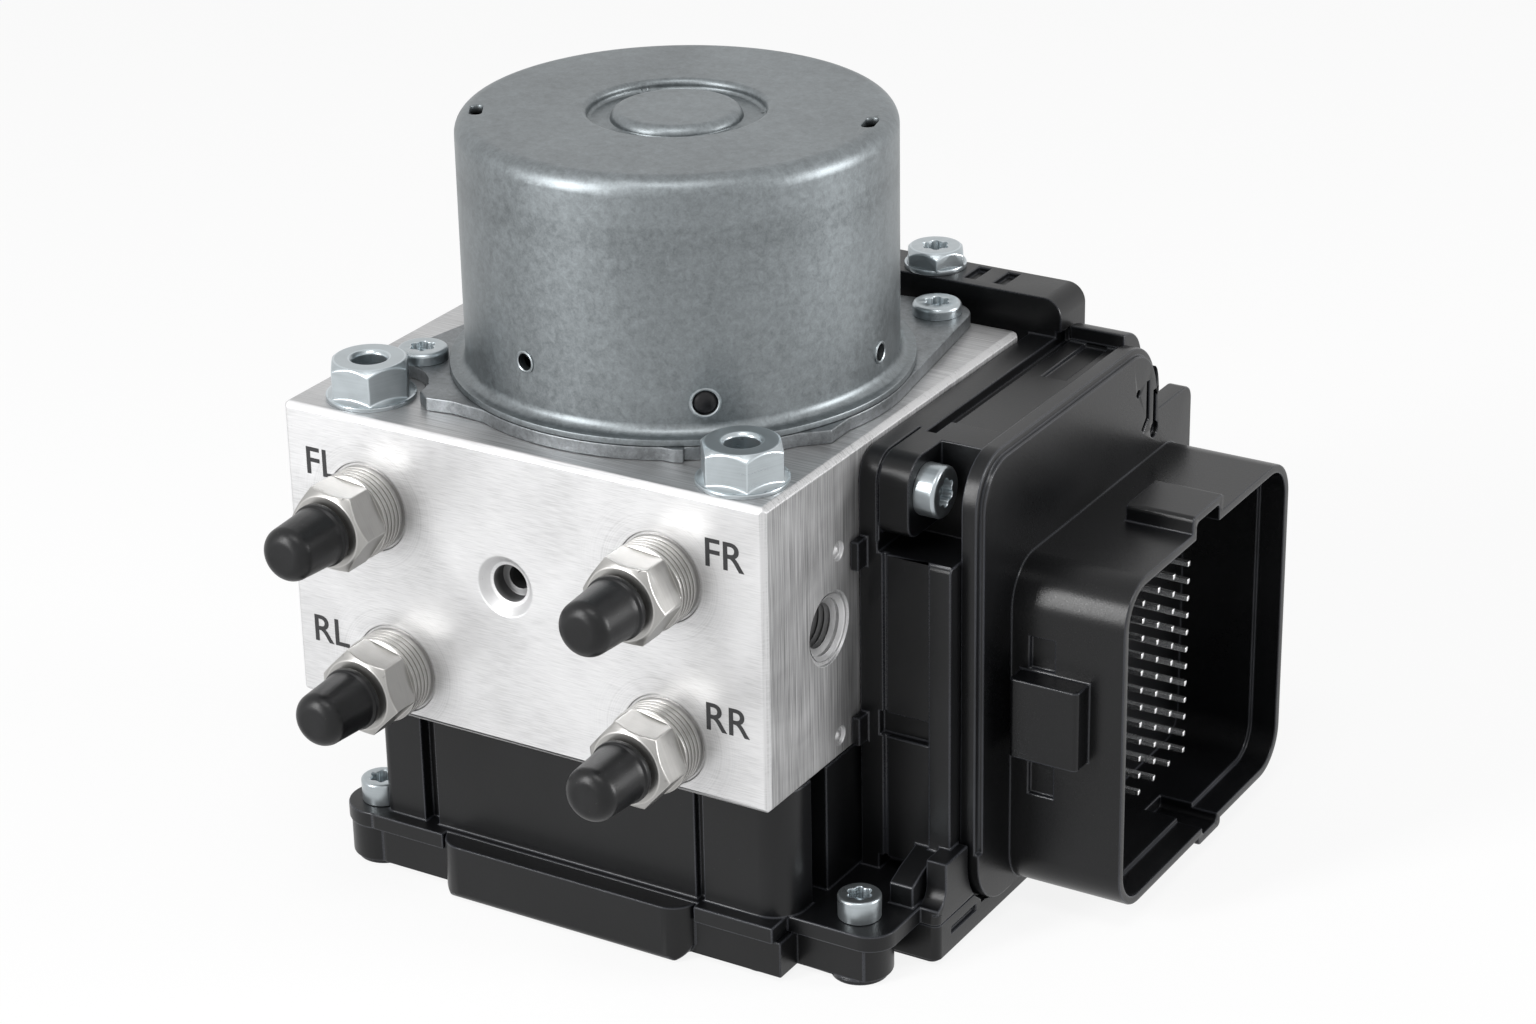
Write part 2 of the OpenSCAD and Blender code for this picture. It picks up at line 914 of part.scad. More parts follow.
// Steel ball of a pump's outlet valve
module check_ball(side) {
    seat = sqrt(ball_r * ball_r - ball_seat_r * ball_seat_r);
    color("#d2d4d5")
        on_pump(side)
            translate([0, 0, sleeve_out + seat + 0.03])
                sphere(ball_r);
}

// Accumulator piston, cup shaped, at the top of its bore
module accumulator_piston(at) {
    piston_top = block_z + accumulator_depth - 0.2;
    color("#8f9294")
        translate(at)
            difference() {
                bar(accumulator_r - slide_gap, piston_top - accumulator_piston_h, piston_top);
                bar(accumulator_r - 2.5, piston_top - accumulator_piston_h - 1, piston_top - 2);
                tube(accumulator_r + 1, accumulator_r - 1, piston_top - 3, piston_top - 1.6);
            }
}

// Spring under an accumulator piston
module accumulator_spring(at) {
    color("#9a9da0")
        translate(at)
            ring_spring(accumulator_r - 3, 0.9, block_z + accumulator_cap_t,
                        block_z + accumulator_depth - 2.2, 5);
}

// Caps that close the accumulators, flush with the block's underside
module accumulator_caps() {
    color("#b9bcbe")
        for (at = accumulator_at)
            translate(at)
                difference() {
                    bar(accumulator_r, block_z, block_z + accumulator_cap_t);
                    bar(0.8, block_z - 1, block_z + accumulator_cap_t + 1);
                }
}

// Valve bodies pressed into the block, with stems that reach down through the coils
module valve_bodies() {
    color("#b08d57")
        for (at = valve_at)
            translate(at)
                difference() {
                    union() {
                        bar(valve_r, block_z, block_z + valve_depth - 0.5);
                        bar(stem_r, stem_bottom, block_z + tiny);
                    }
                    bar(stem_bore_r, stem_bottom + stem_floor, stem_bore_top);
                    bar(rod_bore_r, stem_bore_top - 1, block_z + valve_depth);
                }
}

// Plunger that a coil lifts inside its valve, with its thin push rod
module valve_plunger(i) {
    color("#a4a7a9")
        translate(valve_at[i]) {
            bar(stem_bore_r - slide_gap, plunger_bottom, plunger_bottom + plunger_l);
            bar(rod_r, plunger_bottom, rod_top);
        }
}

// Solenoid coils: a bobbin with two flanges and its winding
module solenoid_coils() {
    color("#8a4f2c")
        for (at = valve_at)
            translate(at)
                difference() {
                    bar(coil_r, coil_bottom, coil_bottom + coil_h);
                    bar(coil_in_r, coil_bottom - 1, coil_bottom + coil_h + 1);
                    tube(coil_r + 1, coil_r - coil_wire_in, coil_bottom + coil_flange_t,
                        coil_bottom + coil_h - coil_flange_t);
                }
}

// Brake pipe fitting: threaded shank, ringed collar, hexagon and nose
module fitting(port) {
    color("#d3d1cc")
        at_port(port)
            difference() {
                union() {
                    bar(port_r, -port_depth, tiny);
                    difference() {
                        bar(collar_r, -collar_seat, collar_l + tiny);
                        for (i = [0 : 3])
                            tube(collar_r + 1, collar_r - 0.35, 1.3 + i, 1.7 + i);
                    }
                    intersection() {
                        rotate(port[2])
                            hex_bar(fitting_af, collar_l, collar_l + fitting_hex_l);
                        fitting_chamfer();
                    }
                    bar(nose_r + 0.9, collar_l, cap_start - 0.1);
                    bar(nose_r, collar_l, cap_start + nose_l);
                }
                bar(nose_bore_r, -port_depth - 1, cap_start + nose_l + 1);
            }
}

// Turned form that bevels the hexagon's corners at both ends
module fitting_chamfer() {
    corner_r = fitting_af / cos(30) / 2;
    flat_r = fitting_af / 2 - 0.5;
    bevel = (corner_r - flat_r) * 0.75;
    rotate_extrude()
        polygon([
            [0, collar_l], [corner_r - 0.5, collar_l], [corner_r + tiny, collar_l + 0.4],
            [corner_r + tiny, collar_l + fitting_hex_l - bevel], [flat_r, collar_l + fitting_hex_l],
            [0, collar_l + fitting_hex_l]
        ]);
}

// Rubber dust cap: a lipped cup with a rounded tip
module dust_cap(port) {
    color("#1b1c1e")
        at_port(port)
            difference() {
                rotate_extrude()
                    dust_cap_outline();
                bar(nose_r + slide_gap, cap_start - 1, cap_start + nose_l + 0.1);
            }
}

// Half section of the dust cap, radius and height
module dust_cap_outline() {
    tip = cap_start + cap_l;
    body_r = cap_r - 0.35;
    end_r = cap_r - 0.8;
    translate([0, cap_start])
        round_rect(0, 0, cap_r, 1.5, [0, 0.4, 0.6, 0]);
    polygon([[0, cap_start], [body_r, cap_start + 1], [end_r, tip - cap_tip_r], [0, tip - cap_tip_r]]);
    round_rect(0, cap_start + 1, end_r, tip, [0, 0, cap_tip_r, 0]);
}

// Block bolt: collar, hexagon with a rounded crown, and a threaded hole for a bracket
module block_bolt() {
    corner_r = bolt_head_af / cos(30) / 2;
    difference() {
        union() {
            bar(bolt_shank_r, top - bolt_shank_l, top + tiny);
            translate([0, 0, top])
                cylinder(r = bolt_collar_r, h = 0.8);
            translate([0, 0, top + 0.8])
                cylinder(r1 = bolt_collar_r - 0.2, r2 = bolt_collar_r - 1.4, h = 0.7);
            intersection() {
                hex_bar(bolt_head_af, top, top + bolt_head_h);
                rotate_extrude()
                    polygon([
                        [0, top], [corner_r, top], [corner_r, top + bolt_head_h - 1.1],
                        [bolt_head_af / 2 - 0.3, top + bolt_head_h], [0, top + bolt_head_h]
                    ]);
            }
        }
        bar(bolt_hole_r, top + bolt_head_h - bolt_hole_depth, top + bolt_head_h + 1);
        translate([0, 0, top + bolt_head_h - bolt_hole_bevel])
            cylinder(r1 = bolt_hole_r, r2 = bolt_hole_r + bolt_hole_bevel, h = bolt_hole_bevel + tiny);
    }
}

// The two bolts at the block's front corners
module block_bolts() {
    color("#b4bcc0")
        for (i = [0, 1])
            translate(block_bolts_at[i])
                rotate(4 + 3 * i)
                    block_bolt();
}

// Low round-headed screws that hold the motor
module motor_screws() {
    color("#b4bcc0")
        for (at = motor_screws_at)
            translate(at)
                difference() {
                    union() {
                        bar(motor_screw_r, top - motor_screw_l + 0.5, can_base + tiny);
                        translate([0, 0, can_base])
                            rotate_extrude()
                                round_rect(0, 0, motor_screw_head_r, motor_screw_head_h, [0, 0, 0.8, 0]);
                    }
                    lobe_bar(4.6, can_base + motor_screw_head_h - 1.6, can_base + motor_screw_head_h + 1);
                }
}

// Bolt on the bracket bar behind the block
module rear_bolt() {
    color("#b4bcc0")
        translate(rear_bolt_at)
            difference() {
                union() {
                    bar(rear_bolt_r, arm_top - rear_bolt_l, arm_top + tiny);
                    bar(rear_bolt_head_r, arm_top, arm_top + rear_bolt_base_h);
                    translate([0, 0, arm_top])
                        intersection() {
                            hex_bar(rear_bolt_af, 0, rear_bolt_head_h);
                            cylinder(r1 = rear_bolt_head_r + 3, r2 = rear_bolt_af / 2 - 0.4,
                                h = rear_bolt_head_h);
                        }
                }
                lobe_bar(5, arm_top + rear_bolt_head_h - 2.6, arm_top + rear_bolt_head_h + 1);
            }
}

// Outline of the flange that runs round the foot of the housing
module base_outline() {
    difference() {
        union() {
            round_rect(base_left + 2, base_front, base_right - 10, base_back, [2, 2, 2, 2]);
            round_rect(right - 4, base_step_front, base_right, base_far, [1, 1.5, 6, 2]);
            round_rect(right - 2, screw_right[1] - ear_r, base_right - 3.5, base_step_front + 4,
                [0, 5, 0, 0]);
            for (at = [screw_left, screw_right, screw_back_left, screw_back_right])
                translate(at)
                    circle(ear_r);
        }
        translate([lower_right - 1.6, base_front - 8])
            square([40, screw_right[1] - ear_r - base_front + 8]);
    }
}

// Outline of the lower housing's walls
module lower_outline() {
    difference() {
        round_rect(lower_left, lower_front, lower_right, lower_back, [2, 6, 3, 3]);
        translate([lower_left + 9, lower_front - 1])
            square([2.8, 3.4]);
        translate([bulge_right - 0.7, lower_front - 1])
            square([1.5, 2.4]);
        translate([lower_right - corner_recess, rib_front - 5])
            square([8, 5]);
    }
}

// Outline of the side housing in the YZ plane
module side_outline() {
    round_rect(-side_front, pan_h - tiny, side_back, side_top, [0, 0, plate_round, 4]);
    round_rect(0, pan_h - tiny, far_back, far_top, [0, 0, 3, 0]);
}

// Space inside the lower housing, grown by a margin
module lower_space(grow = 0) {
    w = housing_wall - grow;
    r = 3 + grow;
    difference() {
        round_rect(lower_left + w, lower_front + front_wall - grow, lower_right - w, lower_back - w,
            [r, r, r, r]);
        translate([lower_right - corner_recess - w, lower_front])
            square([20, rib_front + w - lower_front]);
    }
}

// Space inside the side housing in the YZ plane, grown by a margin
module side_space(grow = 0) {
    r = 2 + grow;
    far_r = plate_round - housing_wall + grow;
    difference() {
        union() {
            round_rect(space_front - grow, space_bottom - grow, space_back + grow, space_top + grow,
                [r, r, far_r, r]);
            round_rect(0, space_bottom - grow, space_far + grow, space_step_top + grow, [r, r, r, 0]);
        }
        round_rect(-side_front - 1, panel_top - notch_wall + grow, notch_wall - notch_back - grow,
            side_top + 1);
    }
}

// Housing: one moulding under the block, up its right side and round its back
module housing() {
    color("#232426")
        difference() {
            union() {
                along_z(flange_z, pan_h)
                    base_outline();
                along_z(pan_h - tiny, block_z)
                    lower_outline();
                housing_side_body();
                housing_arm();
                housing_gusset();
                housing_cheek();
                housing_tabs();
            }
            along_z(flange_z - 1, block_z + 1)
                lower_space();
            housing_side_cuts();
            block_between([lower_right - housing_wall - 1, -8, lead_window_z],
                          [side_left + housing_wall + 1, 34, lead_window_z + lead_window_h]);
            housing_front_gap();
            for (at = pan_screws_at)
                translate(at) {
                    bar(pan_screw_r + 0.15, flange_z - 1, pan_h + 1);
                    bar(pan_screw_head_r + screw_relief, pan_h, block_z - 1);
                }
            along_x(side_split, base_right + 1)
                plate_outline(plate_gap);
            translate(rear_bolt_at)
                bar(rear_bolt_r + 0.1, arm_top - rear_bolt_l - 0.5, arm_top + 1);
            housing_block_pocket();
        }
}

// Keeps the housing clear of the block and of the block's underside
module housing_block_pocket() {
    block_between([left - 1, front - 1, block_z], [right + housing_gap, back + 1, top + 20]);
}

// Front of the flange, cut back where the bottom cover bulges past it
module housing_front_gap() {
    along_z(flange_z - 1, pan_h + tiny)
        round_rect(bulge_left - lip_gap, base_front - 6, bulge_right + lip_gap,
            lower_front - bulge_lip + 0.9, [0, 0, 0, 0]);
}

// Walls of the side housing, with its front panel and corner boss
module housing_side_body() {
    along_x(side_left, side_split)
        difference() {
            side_outline();
            round_rect(-side_front - 1, panel_top, -notch_back, side_top + 1);
            round_rect(-side_front - 1, pan_h - 1, -side_front + 4, panel_bottom);
        }
    along_x(side_left, side_left + 3.6)
        round_rect(-side_front, pan_h - tiny, 0, side_top, [0, 0, 0, 5]);
    along_x(side_left, boss_right)
        round_rect(-side_front, boss_bottom, boss_back, side_top, [3, 0, 0, 5]);
    along_x(side_split - 4.2, side_split)
        round_rect(-side_front - panel_face, panel_bottom, 0, panel_top, [1, 0, 0, 1]);
    along_x(side_left + 7.2, side_split)
        round_rect(side_back - back_rim_w, side_top - 9, side_back, side_top + back_rim_h,
            [0, 0, back_rim_round, 0]);
}

// Recesses and spaces in the side housing
module housing_side_cuts() {
    along_x(side_left + housing_wall, side_split + 1)
        side_space();
    // Groove along the top, beside the block
    block_between([side_left + 5.4, -1, side_top - 1.8], [side_left + 7.2, side_back - 6, side_top + 1]);
    // Lowered panel on the top, with a shallow field near its back
    block_between([side_left + 7.2, boss_back + 1, side_top - 0.8],
        [side_split + 1, side_back - 8, side_top + 1]);
    block_between([side_left + 10.5, 32, side_top - 1.4], [side_left + 15, 49, side_top + 1]);
    // Line between the inner strip and the front panel
    block_between([side_left + 4.6, -side_front - 1, panel_bottom - 1],
        [side_left + 5.2, -side_front + 0.6, panel_top]);
    // Pocket in the front panel
    block_between([side_left + 3.8, -side_front - 1, top - 53.5],
        [side_split - 4.4, -side_front + 1.6, top - 49]);
    // Seam of the corner boss
    difference() {
        block_between([side_left + 3.5, -side_front - 1, boss_bottom - 1],
            [side_left + 3.8, 0, side_top + 1]);
        along_x(side_left + 3, side_left + 5)
            round_rect(-side_front + 0.3, boss_bottom - 2, 2, side_top - 0.3, [0, 0, 0, 5]);
    }
    // Screw hole in the corner boss
    translate([boss_right, boss_screw[0], boss_screw[1]])
        rotate([0, 90, 0])
            bar(side_screw_r + 0.05, -9, 1);
}

// Bracket bar behind the block
module housing_arm() {
    difference() {
        along_y(arm_front, arm_back)
            round_rect(arm_left, arm_bottom, arm_right, arm_top, [2, 0, 3.5, 1]);
        for (x = [30, 36])
            translate([x, arm_front + 5.6, arm_top - 1])
                block_between([-1.2, -3, 0], [1.2, 3, 3]);
    }
}

// Ramp on the flange that stiffens the side housing's foot
module housing_gusset() {
    along_x(right + 11, right + 15.6)
        polygon([
            [-side_front + 4, pan_h - 1], [-side_front - 9.5, pan_h - 1], [-side_front - 9.5, pan_h + 4],
            [-side_front - 6, pan_h + 5.4], [-side_front + 4, pan_h + 8]
        ]);
}

// Cheek that rises beside the lower front corner of the connector cover's plate
module housing_cheek() {
    along_x(base_right - 4, base_right)
        difference() {
            round_rect(base_step_front, pan_h - 1, plate_front + plate_round, panel_bottom + 5);
            translate([base_step_front, pan_h + cheek_round])
                circle(cheek_round);
            translate([base_step_front - cheek_round, pan_h + cheek_round])
                square([2 * cheek_round, panel_top]);
        }
}

// Two tabs that hook round the block's right face
module housing_tabs() {
    for (drop = [22, 55.2])
        block_between([side_left, -side_front - tab_out, top - drop],
            [side_left + tab_t, -side_front + 1, top - drop + 5.4]);
}

// Outline of the bottom cover
module cover_outline() {
    difference() {
        union() {
            round_rect(base_left + 3.5, base_front + 1, base_right - 12, base_back - 1, [2, 2, 2, 2]);
            round_rect(right - 3, base_step_front, base_right, base_far, [1, 1.5, 6, 2]);
            for (at = concat(pan_screws_at, [boss_middle]))
                translate(at)
                    circle(ear_r - 0.4);
        }
        translate([lower_right - 0.6, base_front - 8])
            square([40, screw_right[1] - ear_r - base_front + 9.5]);
    }
}

// Bottom cover: a shallow pan with screw bosses and a bulge in front
module bottom_cover() {
    color("#1f2022")
        difference() {
            union() {
                along_z(1, flange_z)
                    cover_outline();
                along_z(0, 1)
                    offset_feet();
                cover_bulge();
            }
            along_z(pan_floor, flange_z + 1)
                lower_space(-1);
            along_z(pan_floor, flange_z + 1)
                round_rect(right + 4, -4, base_right - 4, base_far - 12, [3, 3, 3, 3]);
            along_z(flange_z - seal_h, flange_z + 1)
                bottom_seal_outline();
            along_z(flange_z, pan_h + 1)
                round_rect(bulge_left - 1, lower_front - bulge_lip + 0.7, bulge_right + 1, lower_front + 1);
            for (at = pan_screws_at)
                translate(at)
                    bar(pan_screw_r, flange_z - 6, flange_z + 1);
            along_x(side_split, base_right + 1)
                plate_outline(plate_gap);
            cover_side_slots();
        }
}

// What stands on the ground: the bosses and the pan, each set in a little
module offset_feet() {
    for (at = concat(pan_screws_at, [boss_middle]))
        translate(at)
            circle(ear_r - 1.2);
    inset = bulge_end_round + 1;
    round_rect(bulge_left + inset, bulge_front + pan_round + 1, bulge_right - inset, base_back - 3,
        [3, 3, 3, 3]);
    round_rect(right - 1, base_step_front + 1, base_right - 1, base_far - 1, [1, 1.5, 6, 2]);
}

// Front bulge, rounded at its upright edges, its ends and its lower edge
module cover_bulge() {
    intersection() {
        along_z(0, pan_h)
            round_rect(bulge_left, bulge_front, bulge_right, lower_front, [bulge_round, bulge_round, 0, 0]);
        along_y(bulge_front - 1, lower_front + 1)
            round_rect(bulge_left - tiny, 0, bulge_right + tiny, pan_h + 1,
                [bulge_end_round, bulge_end_round, 0, 0]);
        along_x(bulge_left - 1, bulge_right + 1)
            round_rect(bulge_front - tiny, 0, lower_front + 1, pan_h + 1, [pan_round, 0, 0, 0]);
    }
}

// Slots low on the bottom cover's right side
module cover_side_slots() {
    block_between([base_right - 0.7, base_step_front + 5, 4.4],
        [base_right + 1, base_step_front + 14, 5.6]);
    block_between([base_right - 0.7, base_step_front + 16, 5], [base_right + 1, base_step_front + 21, 6.4]);
}

// Outline of the connector cover's plate in the YZ plane, grown by a margin
module plate_outline(grow = 0) {
    g = grow;
    r = plate_round + g;
    round_rect(plate_front - g, plate_bottom - g, plate_back + g, plate_top + g, [r - 1, r - 1, r, r - 2]);
    round_rect(shroud_mid_y, plate_bottom - g, plate_far + g, plate_step_top + g, [0, 4 + g, 3 + g, 0]);
}

// Outline of the connector shroud in the YZ plane, grown by a margin
module shroud_outline(grow = 0) {
    r = shroud_round + grow;
    round_rect(shroud_front - grow, shroud_bottom - grow, shroud_front + shroud_w + grow,
               shroud_bottom + shroud_h + grow, [r, r, r, r]);
}

// Key ribs of the shroud in the YZ plane, grown by a margin
module key_outline(grow = 0) {
    round_rect(key_y - key_w / 2 - grow, shroud_mid_z, key_y + key_w / 2 + grow,
               shroud_bottom + shroud_h - shroud_wall + key_h + grow, [0, 0, 1, 1]);
    round_rect(low_key_y - low_key_w / 2 - grow, shroud_bottom + shroud_wall - low_key_h - grow,
               low_key_y + low_key_w / 2 + grow, shroud_mid_z, [1, 1, 0, 0]);
}

// Connector cover: plate and square shroud in one moulding
module connector_cover() {
    inner = -shroud_wall;
    color("#242527")
        difference() {
            union() {
                along_x(side_split, plate_out)
                    plate_outline();
                along_x(plate_out - tiny, shroud_out)
                    shroud_outline();
                along_x(shroud_out - key_l, shroud_out)
                    key_outline(key_wall);
                shroud_latch();
            }
            along_x(shroud_floor, shroud_out + 1)
                shroud_outline(inner);
            along_x(shroud_out - rim_step_l, shroud_out + 1)
                shroud_outline(inner + rim_step);
            along_x(shroud_out - key_l + key_wall, shroud_out + 1)
                key_outline();
            along_x(side_split - 1, side_split + seal_h)
                connector_seal_outline();
            shroud_windows();
            plate_cuts();
            pin_places()
                block_between([side_split - 1, -pin_w / 2, -pin_w / 2],
                    [shroud_floor + 1, pin_w / 2, pin_w / 2]);
        }
}

// Latch block on the shroud's front side
module shroud_latch() {
    z = shroud_mid_z + latch_rise + latch_h / 2;
    along_z(z - latch_h, z)
        round_rect(plate_out + latch_x, shroud_front - latch_out, plate_out + latch_x + latch_l,
                   shroud_front + 1, [1, 1, 0, 0]);
}

// Shallow windows above and below the latch block
module shroud_windows() {
    z = shroud_mid_z + latch_rise + latch_h / 2;
    x = plate_out + latch_x + window_inset;
    for (low = [z + window_gap, z - latch_h - window_h - low_window_gap])
        block_between([x, shroud_front - 1, low],
            [x + window_l, shroud_front + window_depth, low + window_h]);
}

// Grooves in the plate's face
module plate_cuts() {
    // Step along the plate's edge
    along_x(plate_out - 0.8, plate_out + 1)
        difference() {
            round_rect(plate_front - 2, plate_bottom + 12, plate_back - 1.2, plate_top + 2, [0, 0, 3, 0]);
            round_rect(plate_front + 1.4, plate_bottom - 1, plate_back - 1, plate_top - 1.4,
                       [0, 0, plate_round - 1, plate_round - 3]);
            round_rect(shroud_mid_y, plate_bottom, plate_back, plate_step_top);
        }
    // Long slot with a round end, a bent slot and a small hole beside it
    along_x(plate_out - 1, plate_out + 1) {
        round_rect(plate_back - 2.3, top - 18.6, plate_back - 1.3, top - 11.4);
        translate([plate_back - 1.8, top - 19])
            circle(1.5);
        round_rect(plate_back - 5.2, top - 16.2, plate_back - 4.2, top - 8.6);
        translate([plate_back - 5, top - 15.3])
            rotate(-135)
                square([2.8, 1]);
        translate([plate_back - 8.7, top - 9.7])
            circle(0.7);
    }
}

// Places of the pins, in the connector's middle
module pin_places() {
    y0 = shroud_mid_y + pin_shift_y - (pin_columns - 1) * pin_step_y / 2;
    z0 = shroud_mid_z + pin_shift_z - (pin_rows - 1) * pin_step_z / 2;
    for (column = [0 : pin_columns - 1], row = [0 : pin_rows - 1])
        translate([0, y0 + column * pin_step_y, z0 + row * pin_step_z])
            children();
}

// Square pins through the shroud's floor and into the circuit board
module connector_pins() {
    color("#c9ccce")
        pin_places()
            block_between([pin_back - board_t, -pin_w / 2, -pin_w / 2],
                [shroud_floor + pin_l, pin_w / 2, pin_w / 2]);
}

// Circuit board inside the side housing
module circuit_board() {
    color("#2c6b3f")
        difference() {
            block_between([board_x, board_front, board_bottom], [board_x + board_t, board_back, board_top]);
            pin_places()
                block_between([board_x - 1, -pin_w / 2, -pin_w / 2], [pin_back + 1, pin_w / 2, pin_w / 2]);
        }
}

// Chips, a coil and capacitors on the board's inner face
module board_components() {
    color("#26282b") {
        component(14, 17.4, 16, 14, 2);
        component(3, 11.4, 8, 7, 1.8);
        for (i = [0 : 3])
            component(2 + i * 5.5, 31.4, 4, 6.5, 2.3);
        for (i = [0, 1])
            translate([board_x - 5, board_front + 36 + i * 9, board_top - 8.4])
                rotate([0, 90, 0])
                    cylinder(r = 3.6, h = 5);
    }
}

// Flat chip on the board: distance from its front and top edges, size and thickness
module component(y, drop, w, h, t) {
    translate([board_x - t, board_front + y, board_top - drop])
        cube([t, w, h]);
}

// Lead frame: moulded plate that carries current from the board to the coils
module lead_frame() {
    color("#3a3b3e")
        difference() {
            union() {
                block_between([valve_at[0][0] - coil_r, -lead_half_w, lead_z],
                              [valve_at[3][0] + stem_r + 3, lead_half_w, lead_z + lead_t]);
                block_between([valve_at[3][0], -6, lead_z], [board_x - 1, 32 - 6, lead_z + lead_t]);
                block_between([board_x - 2, -6, lead_z], [board_x, 32 - 6, lead_z + 5]);
            }
            for (at = valve_at)
                translate(at)
                    bar(stem_r + 0.3, lead_z - 1, lead_z + lead_t + 1);
        }
}

// Outline of the bottom cover's seal
module bottom_seal_outline() {
    difference() {
        lower_space(seal_far);
        lower_space(seal_near);
    }
}

// Seal in the bottom cover's groove
module bottom_cover_seal() {
    color("#111213")
        along_z(flange_z - seal_h, flange_z)
            bottom_seal_outline();
}

// Outline of the connector cover's seal in the YZ plane
module connector_seal_outline() {
    difference() {
        side_space(seal_far);
        side_space(seal_near);
    }
}

// Seal in the connector cover's groove
module connector_cover_seal() {
    color("#111213")
        along_x(side_split, side_split + seal_h)
            connector_seal_outline();
}

// Screws of the bottom cover, with high round heads
module bottom_cover_screws() {
    color("#b9bcbe")
        for (at = pan_screws_at)
            translate(at)
                difference() {
                    union() {
                        bar(pan_screw_r, pan_h - pan_screw_l, pan_h + tiny);
                        translate([0, 0, pan_h])
                            rotate_extrude()
                                round_rect(0, 0, pan_screw_head_r, pan_screw_head_h, [0, 0.2, 0.5, 0]);
                    }
                    lobe_bar(4.6, pan_h + pan_screw_head_h - 2.4, pan_h + pan_screw_head_h + 1);
                }
}

// Screw in the corner boss of the side housing
module side_screw() {
    color("#b4bcc0")
        translate([boss_right, boss_screw[0], boss_screw[1]])
            rotate([0, 90, 0])
                difference() {
                    union() {
                        bar(side_screw_r, -8, tiny);
                        rotate_extrude()
                            round_rect(0, 0, side_screw_head_r, side_screw_head_h, [0, 0, 0.7, 0]);
                    }
                    lobe_bar(5.2, side_screw_head_h - 2, side_screw_head_h + 1);
                }
}

valve_block();
motor_can();
motor_flange();
motor_magnets();
armature_core();
armature_windings();
commutator();
motor_shaft();
brush_holder();
motor_brushes();
upper_bearing();
lower_bearing();
eccentric_ring();
pump_piston(-1);  // left_pump_piston
pump_piston(1);  // right_pump_piston
pump_spring(-1);  // left_pump_spring
pump_spring(1);  // right_pump_spring
pump_sleeve(-1);  // left_pump_sleeve
pump_sleeve(1);  // right_pump_sleeve
pump_plug(-1);  // left_pump_plug
pump_plug(1);  // right_pump_plug
check_ball(-1);  // left_check_ball
check_ball(1);  // right_check_ball
accumulator_piston(accumulator_at[0]);  // left_accumulator_piston
accumulator_piston(accumulator_at[1]);  // right_accumulator_piston
accumulator_spring(accumulator_at[0]);  // left_accumulator_spring
accumulator_spring(accumulator_at[1]);  // right_accumulator_spring
accumulator_caps();
valve_bodies();
valve_plunger(0);  // valve_plunger_1
valve_plunger(1);  // valve_plunger_2
valve_plunger(2);  // valve_plunger_3
valve_plunger(3);  // valve_plunger_4
valve_plunger(4);  // valve_plunger_5
valve_plunger(5);  // valve_plunger_6
valve_plunger(6);  // valve_plunger_7
valve_plunger(7);  // valve_plunger_8
solenoid_coils();
fitting(port_fl);  // front_left_fitting
fitting(port_fr);  // front_right_fitting
fitting(port_rl);  // rear_left_fitting
fitting(port_rr);  // rear_right_fitting
dust_cap(port_fl);  // front_left_cap
dust_cap(port_fr);  // front_right_cap
dust_cap(port_rl);  // rear_left_cap
dust_cap(port_rr);  // rear_right_cap
block_bolts();
motor_screws();
rear_bolt();
housing();
bottom_cover();
connector_cover();
connector_cover_seal();
connector_pins();
circuit_board();
board_components();
lead_frame();
bottom_cover_seal();
bottom_cover_screws();
side_screw();
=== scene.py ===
"""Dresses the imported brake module: finer surfaces, materials, wheel marks, floor, light and camera."""

import json
import math

import bmesh
import bpy
from bpy.props import FloatProperty, FloatVectorProperty, PointerProperty
from mathutils import Matrix, Vector
from mathutils.bvhtree import BVHTree


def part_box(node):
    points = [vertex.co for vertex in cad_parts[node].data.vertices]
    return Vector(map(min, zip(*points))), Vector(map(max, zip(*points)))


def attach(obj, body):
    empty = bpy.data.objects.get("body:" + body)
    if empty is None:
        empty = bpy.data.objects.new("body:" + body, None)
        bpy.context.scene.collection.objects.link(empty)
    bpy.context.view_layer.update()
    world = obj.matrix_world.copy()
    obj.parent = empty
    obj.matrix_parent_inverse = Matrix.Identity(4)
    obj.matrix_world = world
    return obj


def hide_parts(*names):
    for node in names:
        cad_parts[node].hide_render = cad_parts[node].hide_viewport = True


bl_info = {
    "name": "Brake module",
    "version": (1, 0, 0),
    "blender": (4, 5, 0),
    "location": "3D View > Sidebar > Brake",
    "description": "Surfaces, materials and studio for an anti-lock brake module",
    "category": "Object",
}

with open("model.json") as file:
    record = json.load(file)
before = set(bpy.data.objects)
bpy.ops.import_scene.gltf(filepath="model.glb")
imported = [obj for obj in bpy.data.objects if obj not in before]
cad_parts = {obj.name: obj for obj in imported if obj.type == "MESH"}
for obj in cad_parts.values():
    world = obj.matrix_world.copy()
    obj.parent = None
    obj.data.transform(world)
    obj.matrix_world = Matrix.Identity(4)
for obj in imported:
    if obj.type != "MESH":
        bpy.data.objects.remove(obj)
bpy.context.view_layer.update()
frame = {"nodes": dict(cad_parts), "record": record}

BODY_OF = {node: body for body, nodes in frame["record"]["behaviour"]["bodies"].items() for node in nodes}
SLOT_OF = {part["node"]: part["material_slot"] for part in frame["record"]["subparts"]}
PORTS = ("front_left", "front_right", "rear_left", "rear_right")

# Holes in the can's wall: degrees round the can's axis, distance below the can's top and radius.
# The wide one is closed by a rubber plug. All lengths in this file are in metres.
CAN_R = 0.038
CAN_HOLES = ((-101.8, 0.0351, 0.0016), (-52.4, 0.0390, 0.0023), (4.2, 0.0388, 0.0016))
PLUGGED_R = 0.002

# Darker bands round the can below its rounded top edge: distance below the top, half width and strength
CAN_BANDS = ((0.0088, 0.0012, 0.05), (0.0112, 0.0030, 0.05))

